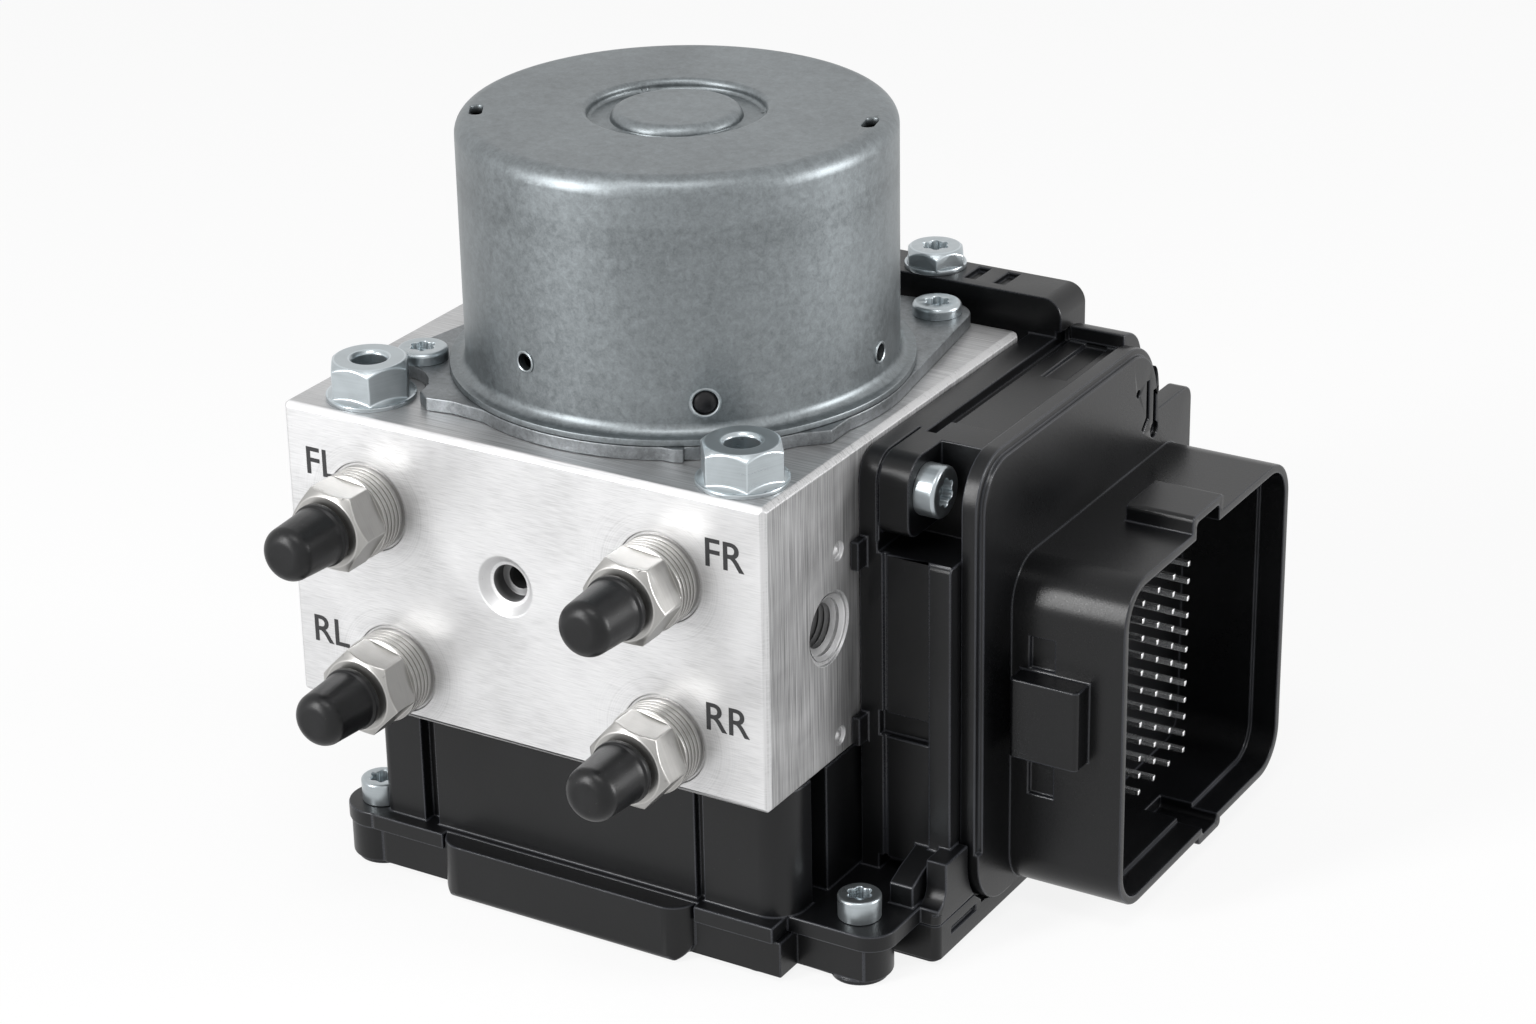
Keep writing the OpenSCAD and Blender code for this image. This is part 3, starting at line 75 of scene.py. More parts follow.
# Left side and top of each wheel mark on the block's front face. A capital takes CAPITAL_SHARE of the
# font's size, its strokes grow by BOLDNESS of its height, and its back lies MARK_SUNK inside the face.
MARKS = {"FL": (-0.0489, 0.0836), "FR": (0.0322, 0.0840), "RL": (-0.0497, 0.0512), "RR": (0.0316, 0.0538)}
CAPITAL_SHARE = 0.729
BOLDNESS = 0.011
MARK_THICKNESS = 0.00006
MARK_SUNK = 0.00001

# A softened copy merges points nearer than MERGE_DISTANCE and drops edges under SHORTEST_EDGE. Faces
# within FLAT_ANGLE of each other become one, and edges above ROUNDED_ANGLE are rounded. In every piece
# the edges below SHARP_ANGLE are shaded smooth.
MERGE_DISTANCE = 0.000002
SHORTEST_EDGE = 0.00005
FLAT_ANGLE = math.radians(0.6)
ROUNDED_ANGLE = math.radians(30.0)
SHARP_ANGLE = math.radians(40.0)
ROUNDING_STEPS = 2
TURNING_STEPS = 48

# The attribute that marks the rounded edges, where the materials paint a highlight
HIGHLIGHT_EDGES = "edge"

# Edge rounding of the pins, and how much blunter the stamped plate and the rubber caps are than the
# metal pieces beside them
PIN_EDGE = 0.0002
STAMPED_SHARE = 1.2
RUBBER_SHARE = 1.5

# Thread in the side port: from ring to ring, and how far a ring stands in
PITCH = 0.0011
THREAD_DEPTH = 0.0006

# Colours of dust, of solder on the board, of the can's plug and of the steel pieces inside
DUST = (0.20, 0.20, 0.19)
DUST_ON_RUBBER = (0.22, 0.22, 0.21)
SOLDER = (0.62, 0.60, 0.52)
PLUG_RUBBER = (0.006, 0.006, 0.007)
STEEL = (0.56, 0.57, 0.58)

# Soft lamps: place, width, height and share of the key light's power
LAMPS = {
    "Front left": ((-0.42, -0.89, 0.42), 0.24, 0.76, 1.0),
    "Above": ((0.20, -0.49, 1.10), 0.55, 0.30, 0.35),
    "Back right": ((0.90, 0.38, 0.27), 0.30, 0.46, 0.6),
}
LAMPS_AIM = (0.01, 0.0, 0.06)
FLOOR_REACH = 6.0

# The photograph's view: turn to the right of the front, height above the level and tilt, in degrees
CAMERA_TURN = 31.2
CAMERA_LIFT = 24.17
CAMERA_TILT = -1.07
CAMERA_AIM = (0.0167, 0.0, 0.06693)


# Materials


class Value:
    """A number that a shader node gives; + - * work on it and add the Math nodes."""

    def __init__(self, nodes, socket):
        self.nodes = nodes
        self.socket = socket

    def maths(self, operation, first, second=0.0):
        made = self.nodes.node("ShaderNodeMath", {"operation": operation}, {0: first, 1: second})
        return Value(self.nodes, made.outputs[0])

    def __add__(self, other):
        return self.maths("ADD", self, other)

    def __radd__(self, other):
        return self.maths("ADD", other, self)

    def __sub__(self, other):
        return self.maths("SUBTRACT", self, other)

    def __rsub__(self, other):
        return self.maths("SUBTRACT", other, self)

    def __mul__(self, other):
        return self.maths("MULTIPLY", self, other)

    def __rmul__(self, other):
        return self.maths("MULTIPLY", other, self)

    def larger(self, other):
        return self.maths("MAXIMUM", self, other)

    def size(self):
        return self.maths("ABSOLUTE", self)

    def wave(self):
        return self.maths("SINE", self)

    def root(self):
        return self.maths("SQRT", self)

    def between(self, low, high):
        """0 below low, 1 above high and a smooth step in between; low may be the larger one."""
        settings = {"interpolation_type": "SMOOTHSTEP"}
        made = self.nodes.node("ShaderNodeMapRange", settings, {0: self, 1: low, 2: high, 3: 0.0, 4: 1.0})
        return Value(self.nodes, made.outputs[0])


class Nodes:
    """A node tree, emptied, and the way its nodes are made."""

    def __init__(self, tree):
        self.tree = tree
        self.tree.nodes.clear()

    def node(self, kind, settings, inputs):
        """Adds a node, sets its settings first, and then gives its sockets their values or links."""
        made = self.tree.nodes.new(kind)
        for key, value in settings.items():
            if key == "stops":
                self.set_stops(made.color_ramp, value)
            else:
                setattr(made, key, value)
        for key, value in inputs.items():
            socket = made.inputs[key]
            if isinstance(value, Value):
                value = value.socket
            if isinstance(value, bpy.types.NodeSocket):
                self.tree.links.new(value, socket)
            elif isinstance(value, (tuple, list)) and socket.type == "RGBA" and len(value) == 3:
                socket.default_value = (*value, 1.0)
            else:
                socket.default_value = value
        return made

    def set_stops(self, ramp, stops):
        """Gives a colour ramp its places, each with its colour."""
        while len(ramp.elements) < len(stops):
            ramp.elements.new(1.0)
        for element, (place, colour) in zip(ramp.elements, stops):
            element.position = place
            element.color = (*colour, 1.0)

    def seen_directly(self):
        """1 for rays from the camera, a glossy surface or through glass, else 0."""
        path = self.node("ShaderNodeLightPath", {}, {})
        kinds = ("Is Camera Ray", "Is Glossy Ray", "Is Transmission Ray")
        seen, shiny, through = (Value(self, path.outputs[kind]) for kind in kinds)
        return seen.larger(shiny).larger(through)


class Finish(Nodes):
    """One material: a Principled surface, and the nodes that vary it over the piece."""

    def __init__(self, name, **constants):
        self.material = bpy.data.materials.new(name)
        self.material.use_nodes = True
        super().__init__(self.material.node_tree)
        self.surface = self.node("ShaderNodeBsdfPrincipled", {}, constants)
        self.output = self.node("ShaderNodeOutputMaterial", {}, {})
        self.tree.links.new(self.surface.outputs[0], self.output.inputs[0])

    def place(self):
        """Object coordinates, in metres."""
        return self.node("ShaderNodeTexCoord", {}, {}).outputs["Object"]

    def facing(self):
        """How far the surface faces along X, Y and Z, each from 0 to 1."""
        normal = self.node("ShaderNodeTexCoord", {}, {}).outputs["Normal"]
        parts = self.node("ShaderNodeSeparateXYZ", {}, {0: normal})
        return [Value(self, parts.outputs[i]).size() for i in range(3)]

    def edge(self):
        """1 on the rounded edges of a softened copy, where the materials paint a highlight, 0 on its faces.
        """
        return Value(self, self.node("ShaderNodeAttribute", {"attribute_name": HIGHLIGHT_EDGES}, {}).outputs["Fac"])

    def axes(self):
        """The object coordinates one by one: X, Y and Z."""
        parts = self.node("ShaderNodeSeparateXYZ", {}, {0: self.place()})
        return [Value(self, parts.outputs[i]) for i in range(3)]

    def point(self, x, y, z):
        return self.node("ShaderNodeCombineXYZ", {}, {0: x, 1: y, 2: z}).outputs[0]

    def stretched(self, scales, turn=(0.0, 0.0, 0.0)):
        """Object coordinates scaled by three numbers, for grain that runs one way."""
        inputs = {"Vector": self.place(), "Rotation": turn, "Scale": scales}
        return self.node("ShaderNodeMapping", {}, inputs).outputs[0]

    def noise(self, vector, detail, scale=1.0, roughness=0.5, distortion=0.0):
        inputs = {
            "Vector": vector, "Scale": scale, "Detail": detail, "Roughness": roughness,
            "Distortion": distortion}
        return Value(self, self.node("ShaderNodeTexNoise", {}, inputs).outputs[0])

    def cells(self, vector, scale=1.0, feature="F1", randomness=1.0):
        inputs = {"Vector": vector, "Scale": scale, "Randomness": randomness}
        return Value(self, self.node("ShaderNodeTexVoronoi", {"feature": feature}, inputs).outputs[0])

    def ramp(self, value, stops):
        return self.node("ShaderNodeValToRGB", {"stops": stops}, {0: value}).outputs[0]

    def mix(self, share, first, second):
        """The first colour, covered by the second one to the given share."""
        settings = {"data_type": "RGBA", "blend_type": "MIX"}
        return self.node("ShaderNodeMix", settings, {0: share, 6: first, 7: second}).outputs[2]

    def bump(self, height, strength, depth):
        inputs = {"Height": height, "Strength": strength, "Distance": depth}
        return self.node("ShaderNodeBump", {}, inputs).outputs[0]

    def set(self, **links):
        """Links the surface's sockets, an underscore standing for a space, and gives the material."""
        for key, value in links.items():
            socket = self.surface.inputs[key.replace("_", " ")]
            if isinstance(value, Value):
                value = value.socket
            self.tree.links.new(value, socket)
        return self.material


def shaded(colour, share):
    """The colour made darker or lighter by a share of itself."""
    return tuple(min(1.0, c * share) for c in colour)


def milled_aluminium(name, colour, ports, box, contrast):
    """Milled block: fine lines and rings in front, brushing with painted shade on sides and top, painted
    shade in holes.

    The ports are the X and Z of each ring's centre, and box is the block's lowest and highest corners.
    """
    ring_full, ring_end, rings_a_metre = 0.009, 0.019, 2600.0
    painted_shade_from, painted_shade_full = 0.0012, 0.0032
    finish = Finish(name, Metallic=0.85)
    x, y, z = finish.axes()
    face_x, face_y, face_z = finish.facing()
    upright = finish.noise(finish.stretched((5200.0, 5200.0, 70.0)), detail=3.0)
    across = finish.noise(finish.stretched((60.0, 5200.0, 900.0)), detail=3.0)
    fine = finish.noise(finish.stretched((260.0, 900.0, 4200.0)), detail=3.0)
    front = fine * 0.6
    for port_x, port_z in ports:
        dx, dz = x - port_x, z - port_z
        reach = (dx * dx + dz * dz).root()
        near = reach.between(ring_end, ring_full)
        rings = finish.noise(finish.point(reach * rings_a_metre, port_x, port_z), detail=2.0)
        front = front + (rings - 0.5) * near * 0.5
    front = front + 0.2
    lines = upright * face_x + across * face_z + front * face_y
    clouds = finish.noise(finish.place(), scale=60.0, detail=4.0, distortion=0.8)
    slanted = finish.stretched((90.0, 900.0, 2600.0), (0.0, 0.35, 0.0))
    scratches = finish.noise(slanted, detail=4.0).between(0.70, 0.78)
    specks = finish.cells(finish.place(), scale=420.0).between(0.06, 0.0)
    tone = lines * 0.7 + clouds * 0.3
    soft = shaded(colour, 1.0 - 0.55 * contrast)
    base = finish.ramp(tone, [(0.30, soft), (0.50, colour), (0.70, shaded(colour, 1.0 + 0.35 * contrast))])
    base = finish.mix(scratches * 0.18, base, shaded(colour, 0.6))
    base = finish.mix(specks * 0.35, base, shaded(colour, 0.5))
    # Painted shade: the sides, the top and the bottom are darker than the front, and keep their brushing
    # lines.
    brushed_with_painted_shade = finish.ramp(tone, [(0.38, shaded(colour, 0.3)), (0.62, shaded(colour, 0.75))])
    base = finish.mix(face_x * 0.8 + face_z * 0.55, base, brushed_with_painted_shade)
    # Painted shade: surfaces more than about 1 to 3 mm inside the block's box on every side, which are the
    # walls of its holes, are made darker.
    depth = 1.0
    for along, low, high in zip((x, y, z), *box):
        middle, half = (low + high) / 2.0, (high - low) / 2.0
        depth = (along - middle).size().between(half - painted_shade_from, half - painted_shade_full) * depth
    base = finish.mix(depth * 0.85, base, shaded(colour, 0.12))
    rough = 0.30 + lines * 0.14 + clouds * 0.08 + face_x * 0.12
    normal = finish.bump(lines - scratches * 0.6, 0.30, 0.00006)
    return finish.set(Base_Color=base, Roughness=rough, Normal=normal)


def zinc_sheet(name, colour, rough_low=0.33, cloud_scale=26.0, contrast=1.0, bands=()):
    """Drawn or stamped sheet with a satin zinc coat: cloudy tone, fine grain, faint lines, darker bands.

    A band is its height, its half width and its strength.
    """
    finish = Finish(name, Metallic=1.0)
    upward = finish.axes()[2]
    clouds = finish.noise(finish.place(), scale=cloud_scale, detail=3.0, distortion=0.8)
    mottle = finish.noise(finish.place(), scale=760.0, detail=3.0, roughness=0.6, distortion=0.6)
    grain = finish.noise(finish.place(), scale=2600.0, detail=3.0, roughness=0.7)
    drawn = finish.noise(finish.stretched((260.0, 260.0, 24.0)), detail=3.0)
    tone = clouds * 0.30 + mottle * 0.35 + grain * 0.25 + drawn * 0.10
    for height, half, share in bands:
        tone = tone - (upward - height).size().between(half, 0.0) * share
    low, high = 1.0 - 0.30 * contrast, 1.0 + 0.30 * contrast
    base = finish.ramp(tone, [(0.36, shaded(colour, low)), (0.50, colour), (0.64, shaded(colour, high))])
    rough = rough_low + mottle * 0.14 + grain * 0.08
    normal = finish.bump(mottle * 0.5 + grain * 0.5, 0.22, 0.00006)
    return finish.set(Base_Color=base, Roughness=rough, Normal=normal)


def turned_metal(name, colour, rough_low, axis, lines=0.12):
    """Turned or rolled metal: fine rings round its axis, small marks, faint clouds and a painted highlight
    on the edges.
    """
    finish = Finish(name, Metallic=0.9)
    scales = tuple(3200.0 if axis == one else 60.0 for one in "XYZ")
    rings = finish.noise(finish.stretched(scales), detail=3.0)
    clouds = finish.noise(finish.place(), scale=140.0, detail=4.0, distortion=0.5)
    nicks = finish.cells(finish.place(), scale=700.0).between(0.09, 0.0)
    tone = rings * 0.35 + clouds * 0.65
    base = finish.ramp(tone, [(0.30, shaded(colour, 0.84)), (0.50, colour), (0.70, shaded(colour, 1.10))])
    base = finish.mix(nicks * 0.4, base, shaded(colour, 0.6))
    # Painted highlight: the rounded edges are lighter.
    base = finish.mix(finish.edge() * 0.7, base, shaded(colour, 1.35))
    rough = rough_low + clouds * 0.14 + rings * 0.06
    normal = finish.bump(rings * lines + nicks * -0.2, 0.25, 0.00008)
    return finish.set(Base_Color=base, Roughness=rough, Normal=normal)


def moulded_plastic(name, colour, rough_low):
    """Moulded black plastic: fine spark grain, faint flow clouds, paler dust and scuffs, and a painted
    highlight on the rounded edges.
    """
    finish = Finish(name, **{"Metallic": 0.0, "Specular IOR Level": 0.33})
    grain = finish.noise(finish.place(), scale=3400.0, detail=3.0, roughness=0.6)
    pits = finish.cells(finish.place(), scale=1900.0)
    clouds = finish.noise(finish.place(), scale=30.0, detail=4.0, distortion=1.2)
    rubbed = finish.stretched((260.0, 1400.0, 420.0))
    scuffs = finish.noise(rubbed, detail=4.0, roughness=0.7).between(0.66, 0.80)
    dust = finish.cells(finish.place(), scale=330.0).between(0.035, 0.0)
    base = finish.ramp(clouds, [(0.30, shaded(colour, 0.80)), (0.70, shaded(colour, 1.25))])
    base = finish.mix(scuffs * 0.12, base, shaded(colour, 3.0))
    base = finish.mix(dust * 0.20, base, DUST)
    # Painted highlight: the rounded edges are much lighter, unevenly along them.
    edge = finish.edge()
    base = finish.mix(edge * (clouds * 1.2), base, shaded(colour, 12.0))
    rough = rough_low + grain * 0.12 + clouds * 0.08 + scuffs * 0.06 - edge * 0.06
    normal = finish.bump(grain * 0.6 + pits * 0.4, 0.45, 0.00003)
    return finish.set(Base_Color=base, Roughness=rough, Normal=normal)


def soft_rubber(name, colour):
    """Moulded rubber: matte, slightly uneven, with a little dust."""
    finish = Finish(name, **{"Metallic": 0.0, "Specular IOR Level": 0.3})
    grain = finish.noise(finish.place(), scale=2200.0, detail=4.0, roughness=0.65)
    clouds = finish.noise(finish.place(), scale=170.0, detail=4.0, distortion=0.8)
    dust = finish.cells(finish.place(), scale=560.0).between(0.07, 0.0)
    base = finish.ramp(clouds, [(0.35, shaded(colour, 0.75)), (0.70, shaded(colour, 1.35))])
    base = finish.mix(dust * 0.22, base, DUST_ON_RUBBER)
    rough = 0.24 + clouds * 0.12 + grain * 0.08
    normal = finish.bump(grain, 0.35, 0.00005)
    return finish.set(Base_Color=base, Roughness=rough, Normal=normal)


def enamelled_wire(name, colour):
    """Copper winding: turns of enamelled wire, one above the other."""
    finish = Finish(name, Metallic=1.0)
    upward = finish.axes()[2]
    wobble = finish.noise(finish.place(), scale=300.0, detail=2.0)
    turns = (upward * 9000.0 + wobble * 2.5).wave()
    stops = [(0.05, shaded(colour, 0.30)), (0.45, colour), (0.95, shaded(colour, 1.25))]
    base = finish.ramp(turns * 0.5 + 0.5, stops)
    rough = 0.24 + wobble * 0.14
    normal = finish.bump(turns, 0.7, 0.00015)
    return finish.set(Base_Color=base, Roughness=rough, Normal=normal)


def circuit_lacquer(name, colour):
    """Lacquered circuit board: glass weave, copper tracks and pads under the lacquer."""
    finish = Finish(name)
    across, through, up = ((along * 5200.0).wave() for along in finish.axes())
    weave = across * up + through * 0.5
    evenly = finish.stretched((260.0, 260.0, 260.0))
    tracks = finish.cells(evenly, feature="DISTANCE_TO_EDGE", randomness=0.55)
    pads = finish.cells(finish.place(), scale=420.0, randomness=0.3).between(0.16, 0.12)
    base = finish.mix(tracks.between(0.07, 0.04), colour, shaded(colour, 1.9))
    base = finish.mix(pads * 0.7, base, SOLDER)
    rough = 0.26 + weave * 0.03 + pads * 0.1
    normal = finish.bump(weave * 0.2 + pads * 0.8, 0.3, 0.00006)
    return finish.set(Base_Color=base, Roughness=rough, Metallic=pads * 0.8, Normal=normal)


def sintered(name, colour, metallic, rough_low):
    """Pressed powder or cast grain, for magnets, carbon brushes and chips."""
    finish = Finish(name, Metallic=metallic)
    grain = finish.noise(finish.place(), scale=3000.0, detail=5.0, roughness=0.75)
    pores = finish.cells(finish.place(), scale=2200.0).between(0.16, 0.04)
    clouds = finish.noise(finish.place(), scale=90.0, detail=3.0)
    stops = [(0.32, shaded(colour, 0.7)), (0.68, shaded(colour, 1.3))]
    base = finish.ramp(clouds * 0.5 + grain * 0.5, stops)
    base = finish.mix(pores * 0.5, base, shaded(colour, 0.35))
    rough = rough_low + grain * 0.2
    normal = finish.bump(grain - pores * 0.6, 0.4, 0.00006)
    return finish.set(Base_Color=base, Roughness=rough, Normal=normal)


def mark_ink(name, colour):
    """Dark etched mark: slightly patchy, so the metal's tone comes through in places."""
    finish = Finish(name, Metallic=0.3)
    patches = finish.noise(finish.place(), scale=900.0, detail=4.0, roughness=0.7)
    dots = finish.cells(finish.place(), scale=5200.0, randomness=0.4)
    base = finish.ramp(patches * 0.7 + dots * 0.3, [(0.25, colour), (0.75, shaded(colour, 2.2))])
    rough = 0.45 + patches * 0.2
    return finish.set(Base_Color=base, Roughness=rough, Normal=finish.bump(dots, 0.3, 0.00004))


# Geometry


def piece_from(shape, name, material):
    """Makes an object of a bmesh, shaded smooth except over sharp edges."""
    for face in shape.faces:
        face.smooth = True
    for edge in shape.edges:
        edge.smooth = len(edge.link_faces) == 2 and edge.calc_face_angle(0.0) < SHARP_ANGLE
    mesh = bpy.data.meshes.new(name)
    shape.to_mesh(mesh)
    shape.free()
    mesh.materials.append(material)
    piece = bpy.data.objects.new(name, mesh)
    bpy.context.scene.collection.objects.link(piece)
    weighting = piece.modifiers.new("Even shading", "WEIGHTED_NORMAL")
    weighting.keep_sharp = True
    return piece


def softened_copy(node, width, material):
    """A finer copy of a CAD node with its edges slightly rounded, which stands for the node.

    The rounded edges carry an attribute that marks them for a painted highlight, and a corner that the
    rounding throws away from the node's surface is put back on it.
    """
    shape = bmesh.new()
    shape.from_mesh(frame["nodes"][node].data)
    bmesh.ops.remove_doubles(shape, verts=shape.verts, dist=MERGE_DISTANCE)
    surface = BVHTree.FromBMesh(shape)
    bmesh.ops.dissolve_limit(
        shape, angle_limit=FLAT_ANGLE, use_dissolve_boundaries=False,
        verts=shape.verts, edges=shape.edges, delimit=set())
    bmesh.ops.dissolve_degenerate(shape, dist=SHORTEST_EDGE, edges=shape.edges)
    large = [f for f in shape.faces if len(f.verts) > 4]
    bmesh.ops.triangulate(shape, faces=large, quad_method="BEAUTY", ngon_method="BEAUTY")
    sharp = [e for e in shape.edges if len(e.link_faces) == 2 and e.calc_face_angle(0.0) > ROUNDED_ANGLE]
    rounded = bmesh.ops.bevel(
        shape, geom=sharp, offset=width, offset_type="OFFSET", affect="EDGES", segments=ROUNDING_STEPS,
        profile=0.5, clamp_overlap=False, material=-1, loop_slide=False)
    # Marks the rounded edges for a painted highlight in the materials
    highlight_edges = shape.loops.layers.float.new(HIGHLIGHT_EDGES)
    for face in rounded["faces"]:
        for loop in face.loops:
            loop[highlight_edges] = 1.0
    for vertex in shape.verts:
        nearest, _, _, distance = surface.find_nearest(vertex.co)
        if distance > width:
            vertex.co = nearest
    piece = piece_from(shape, "finished_" + node, material)
    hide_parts(node)
    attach(piece, BODY_OF[node])


def dress(node, material):
    """Gives a CAD node that keeps its own mesh a finish."""
    mesh = frame["nodes"][node].data
    mesh.materials.clear()
    mesh.materials.append(material)


def spun(outline, centre, axis, name, material, closed=True):
    """Turns an outline once round a level axis, as a piece of the base.

    A point of the outline is its distances along the axis and up from it. An open outline starts and
    ends on the axis.
    """
    axis, centre = Vector(axis), Vector(centre)
    shape = bmesh.new()
    corners = [shape.verts.new(centre + axis * along + Vector((0.0, 0.0, up))) for along, up in outline]
    edges = [shape.edges.new((corners[i - 1], corners[i])) for i in range(0 if closed else 1, len(corners))]
    bmesh.ops.spin(
        shape, geom=corners + edges, cent=centre, axis=axis, angle=math.radians(360.0),
        steps=TURNING_STEPS, use_merge=True, use_duplicate=False)
    bmesh.ops.remove_doubles(shape, verts=shape.verts, dist=MERGE_DISTANCE / 2.0)
    bmesh.ops.recalc_face_normals(shape, faces=shape.faces)
    piece = piece_from(shape, name, material)
    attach(piece, "base")


def thread_rings(mouth, radius, length, material):
    """The thread that lines the side port, as rings from the stepped cone at its mouth inwards."""
    cone = [(-0.0004, 0.00135), (-0.0006, 0.00125), (-0.0011, 0.0005), (-0.0017, 0.0005)]
    outline = [(along, radius + wider) for along, wider in cone]
    for i in range(int(length / PITCH) - 1):
        start = -0.0022 - i * PITCH
        outline += [(start, radius - THREAD_DEPTH), (start - PITCH / 2.0, radius - 0.00005)]
    outline += [(start - PITCH, radius + 0.0001), (-0.0024, radius + 0.00025)]
    spun(outline, mouth, (1.0, 0.0, 0.0), "side_port_thread", material)


def can_hole(turn, drop, hole_r, top, metal, rubber):
    """The raised lip round a hole in the can's wall, and the plug in a wide one."""
    axis = Vector((math.cos(math.radians(turn)), math.sin(math.radians(turn)), 0.0))
    centre = axis * CAN_R + Vector((0.0, 0.0, top - drop))
    lip = [
        (-0.0004, hole_r - 0.0001), (0.0001, hole_r - 0.0001), (0.00022, hole_r + 0.00012),
        (0.00014, hole_r + 0.0004), (-0.0004, hole_r + 0.0005)]
    spun(lip, centre, axis, "can_hole_lip_%d" % round(abs(turn)), metal)
    if hole_r > PLUGGED_R:
        dome = [
            (-0.0014, 0.0), (-0.0014, hole_r), (-0.0007, hole_r), (-0.0001, hole_r * 0.72),
            (0.0002, hole_r * 0.35), (0.00025, 0.0)]
        spun(dome, centre, axis, "can_hole_plug", rubber, closed=False)


def wheel_mark(letters, place, height, material):
    """A small etched mark on the block's front face, with its lower left corner at place."""
    curve = bpy.data.curves.new("mark_" + letters, "FONT")
    curve.body = letters
    curve.size = height / CAPITAL_SHARE
    curve.offset = height * BOLDNESS
    curve.extrude = MARK_THICKNESS / 2.0
    drawn = bpy.data.objects.new("drawn_" + letters, curve)
    bpy.context.scene.collection.objects.link(drawn)
    bpy.context.view_layer.update()
    mesh = bpy.data.meshes.new_from_object(drawn.evaluated_get(bpy.context.evaluated_depsgraph_get()))
    bpy.data.objects.remove(drawn)
    bpy.data.curves.remove(curve)
    low = Vector([min(v.co[i] for v in mesh.vertices) for i in range(3)])
    mesh.transform(Matrix.Translation(-low))
    mesh.transform(Matrix.Translation(place) @ Matrix.Rotation(math.radians(90.0), 4, "X"))
    mesh.materials.clear()
    mesh.materials.append(material)
    piece = bpy.data.objects.new("wheel_mark_" + letters, mesh)
    bpy.context.scene.collection.objects.link(piece)
    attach(piece, "base")


# Sizes and colours


class BRAKE_PG_block(bpy.types.PropertyGroup):
    """Valve block."""

    edge: FloatProperty(
        name="Edge rounding", description="Width of the block's rounded edges",
        default=0.00022, min=0.0, unit="LENGTH")
    colour: FloatVectorProperty(
        name="Aluminium", description="Colour of the milled block",
        default=(0.66, 0.66, 0.665), subtype="COLOR", size=3, min=0.0, max=1.0)


class BRAKE_PG_motor(bpy.types.PropertyGroup):
    """Pump motor."""

    edge: FloatProperty(
        name="Edge rounding", description="Width of the rounded edges of can and plate",
        default=0.00025, min=0.0, unit="LENGTH")
    can_colour: FloatVectorProperty(
        name="Can", description="Colour of the drawn can",
        default=(0.197, 0.216, 0.225), subtype="COLOR", size=3, min=0.0, max=1.0)
    plate_colour: FloatVectorProperty(
        name="Plate", description="Colour of the stamped motor plate",
        default=(0.20, 0.212, 0.22), subtype="COLOR", size=3, min=0.0, max=1.0)


class BRAKE_PG_fastener(bpy.types.PropertyGroup):
    """Bolts and screws."""

    edge: FloatProperty(
        name="Edge rounding", description="Width of the rounded edges of bolts and screws",
        default=0.00018, min=0.0, unit="LENGTH")
    colour: FloatVectorProperty(
        name="Zinc", description="Colour of bolts and screws",
        default=(0.42, 0.46, 0.48), subtype="COLOR", size=3, min=0.0, max=1.0)


class BRAKE_PG_fitting(bpy.types.PropertyGroup):
    """Pipe fittings and dust caps."""

    edge: FloatProperty(
        name="Edge rounding", description="Width of the rounded edges of the fittings",
        default=0.00016, min=0.0, unit="LENGTH")
    colour: FloatVectorProperty(
        name="Nickel", description="Colour of the pipe fittings",
        default=(0.38, 0.374, 0.362), subtype="COLOR", size=3, min=0.0, max=1.0)
    cap_colour: FloatVectorProperty(
        name="Dust caps", description="Colour of the rubber caps",
        default=(0.0060, 0.0062, 0.0068), subtype="COLOR", size=3, min=0.0, max=1.0)


class BRAKE_PG_housing(bpy.types.PropertyGroup):
    """Plastic housing, covers and plug socket."""

    edge: FloatProperty(
        name="Edge rounding", description="Width of the rounded edges of the plastic parts",
        default=0.0003, min=0.0, unit="LENGTH")
    colour: FloatVectorProperty(
        name="Plastic", description="Colour of the moulded plastic",
        default=(0.0034, 0.0036, 0.0042), subtype="COLOR", size=3, min=0.0, max=1.0)
    pin_colour: FloatVectorProperty(
        name="Pins", description="Colour of the tinned pins",
        default=(0.78, 0.79, 0.80), subtype="COLOR", size=3, min=0.0, max=1.0)


class BRAKE_PG_marks(bpy.types.PropertyGroup):
    """Wheel marks beside the fittings."""

    height: FloatProperty(
        name="Letter height", description="Height of the letters",
        default=0.0053, min=0.001, unit="LENGTH")
    colour: FloatVectorProperty(
        name="Mark", description="Colour of the etched letters",
        default=(0.016, 0.016, 0.017), subtype="COLOR", size=3, min=0.0, max=1.0)


class BRAKE_PG_studio(bpy.types.PropertyGroup):
    """Floor, light and camera."""

    floor: FloatVectorProperty(
        name="Floor", description="Colour of floor and background",
        default=(1.0, 1.0, 1.0), subtype="COLOR", size=3, min=0.0, max=1.0)
    floor_glow: FloatProperty(
        name="Floor glow", description="How far the floor is white in itself, which keeps its shadow faint",
        default=0.87, min=0.0, max=1.0, subtype="FACTOR")
    fill: FloatProperty(
        name="Fill light", description="Level of the even light from all sides",
        default=0.32, min=0.0, subtype="FACTOR")
    key: FloatProperty(
        name="Key light", description="Power of the soft lamp at the front left, in watts",
        default=9.5, min=0.0)
    lens: FloatProperty(
        name="Lens", description="Focal length on a 36 mm wide picture",
        default=89.06, min=10.0, subtype="DISTANCE_CAMERA")
    distance: FloatProperty(
        name="Distance", description="From the camera to the point it looks at",
        default=0.66863, min=0.1, unit="LENGTH")


class BRAKE_PG_settings(bpy.types.PropertyGroup):
    """All sizes and colours of the scene."""

    block: PointerProperty(type=BRAKE_PG_block)
    motor: PointerProperty(type=BRAKE_PG_motor)
    fastener: PointerProperty(type=BRAKE_PG_fastener)
    fitting: PointerProperty(type=BRAKE_PG_fitting)
    housing: PointerProperty(type=BRAKE_PG_housing)
    marks: PointerProperty(type=BRAKE_PG_marks)
    studio: PointerProperty(type=BRAKE_PG_studio)


# Steps


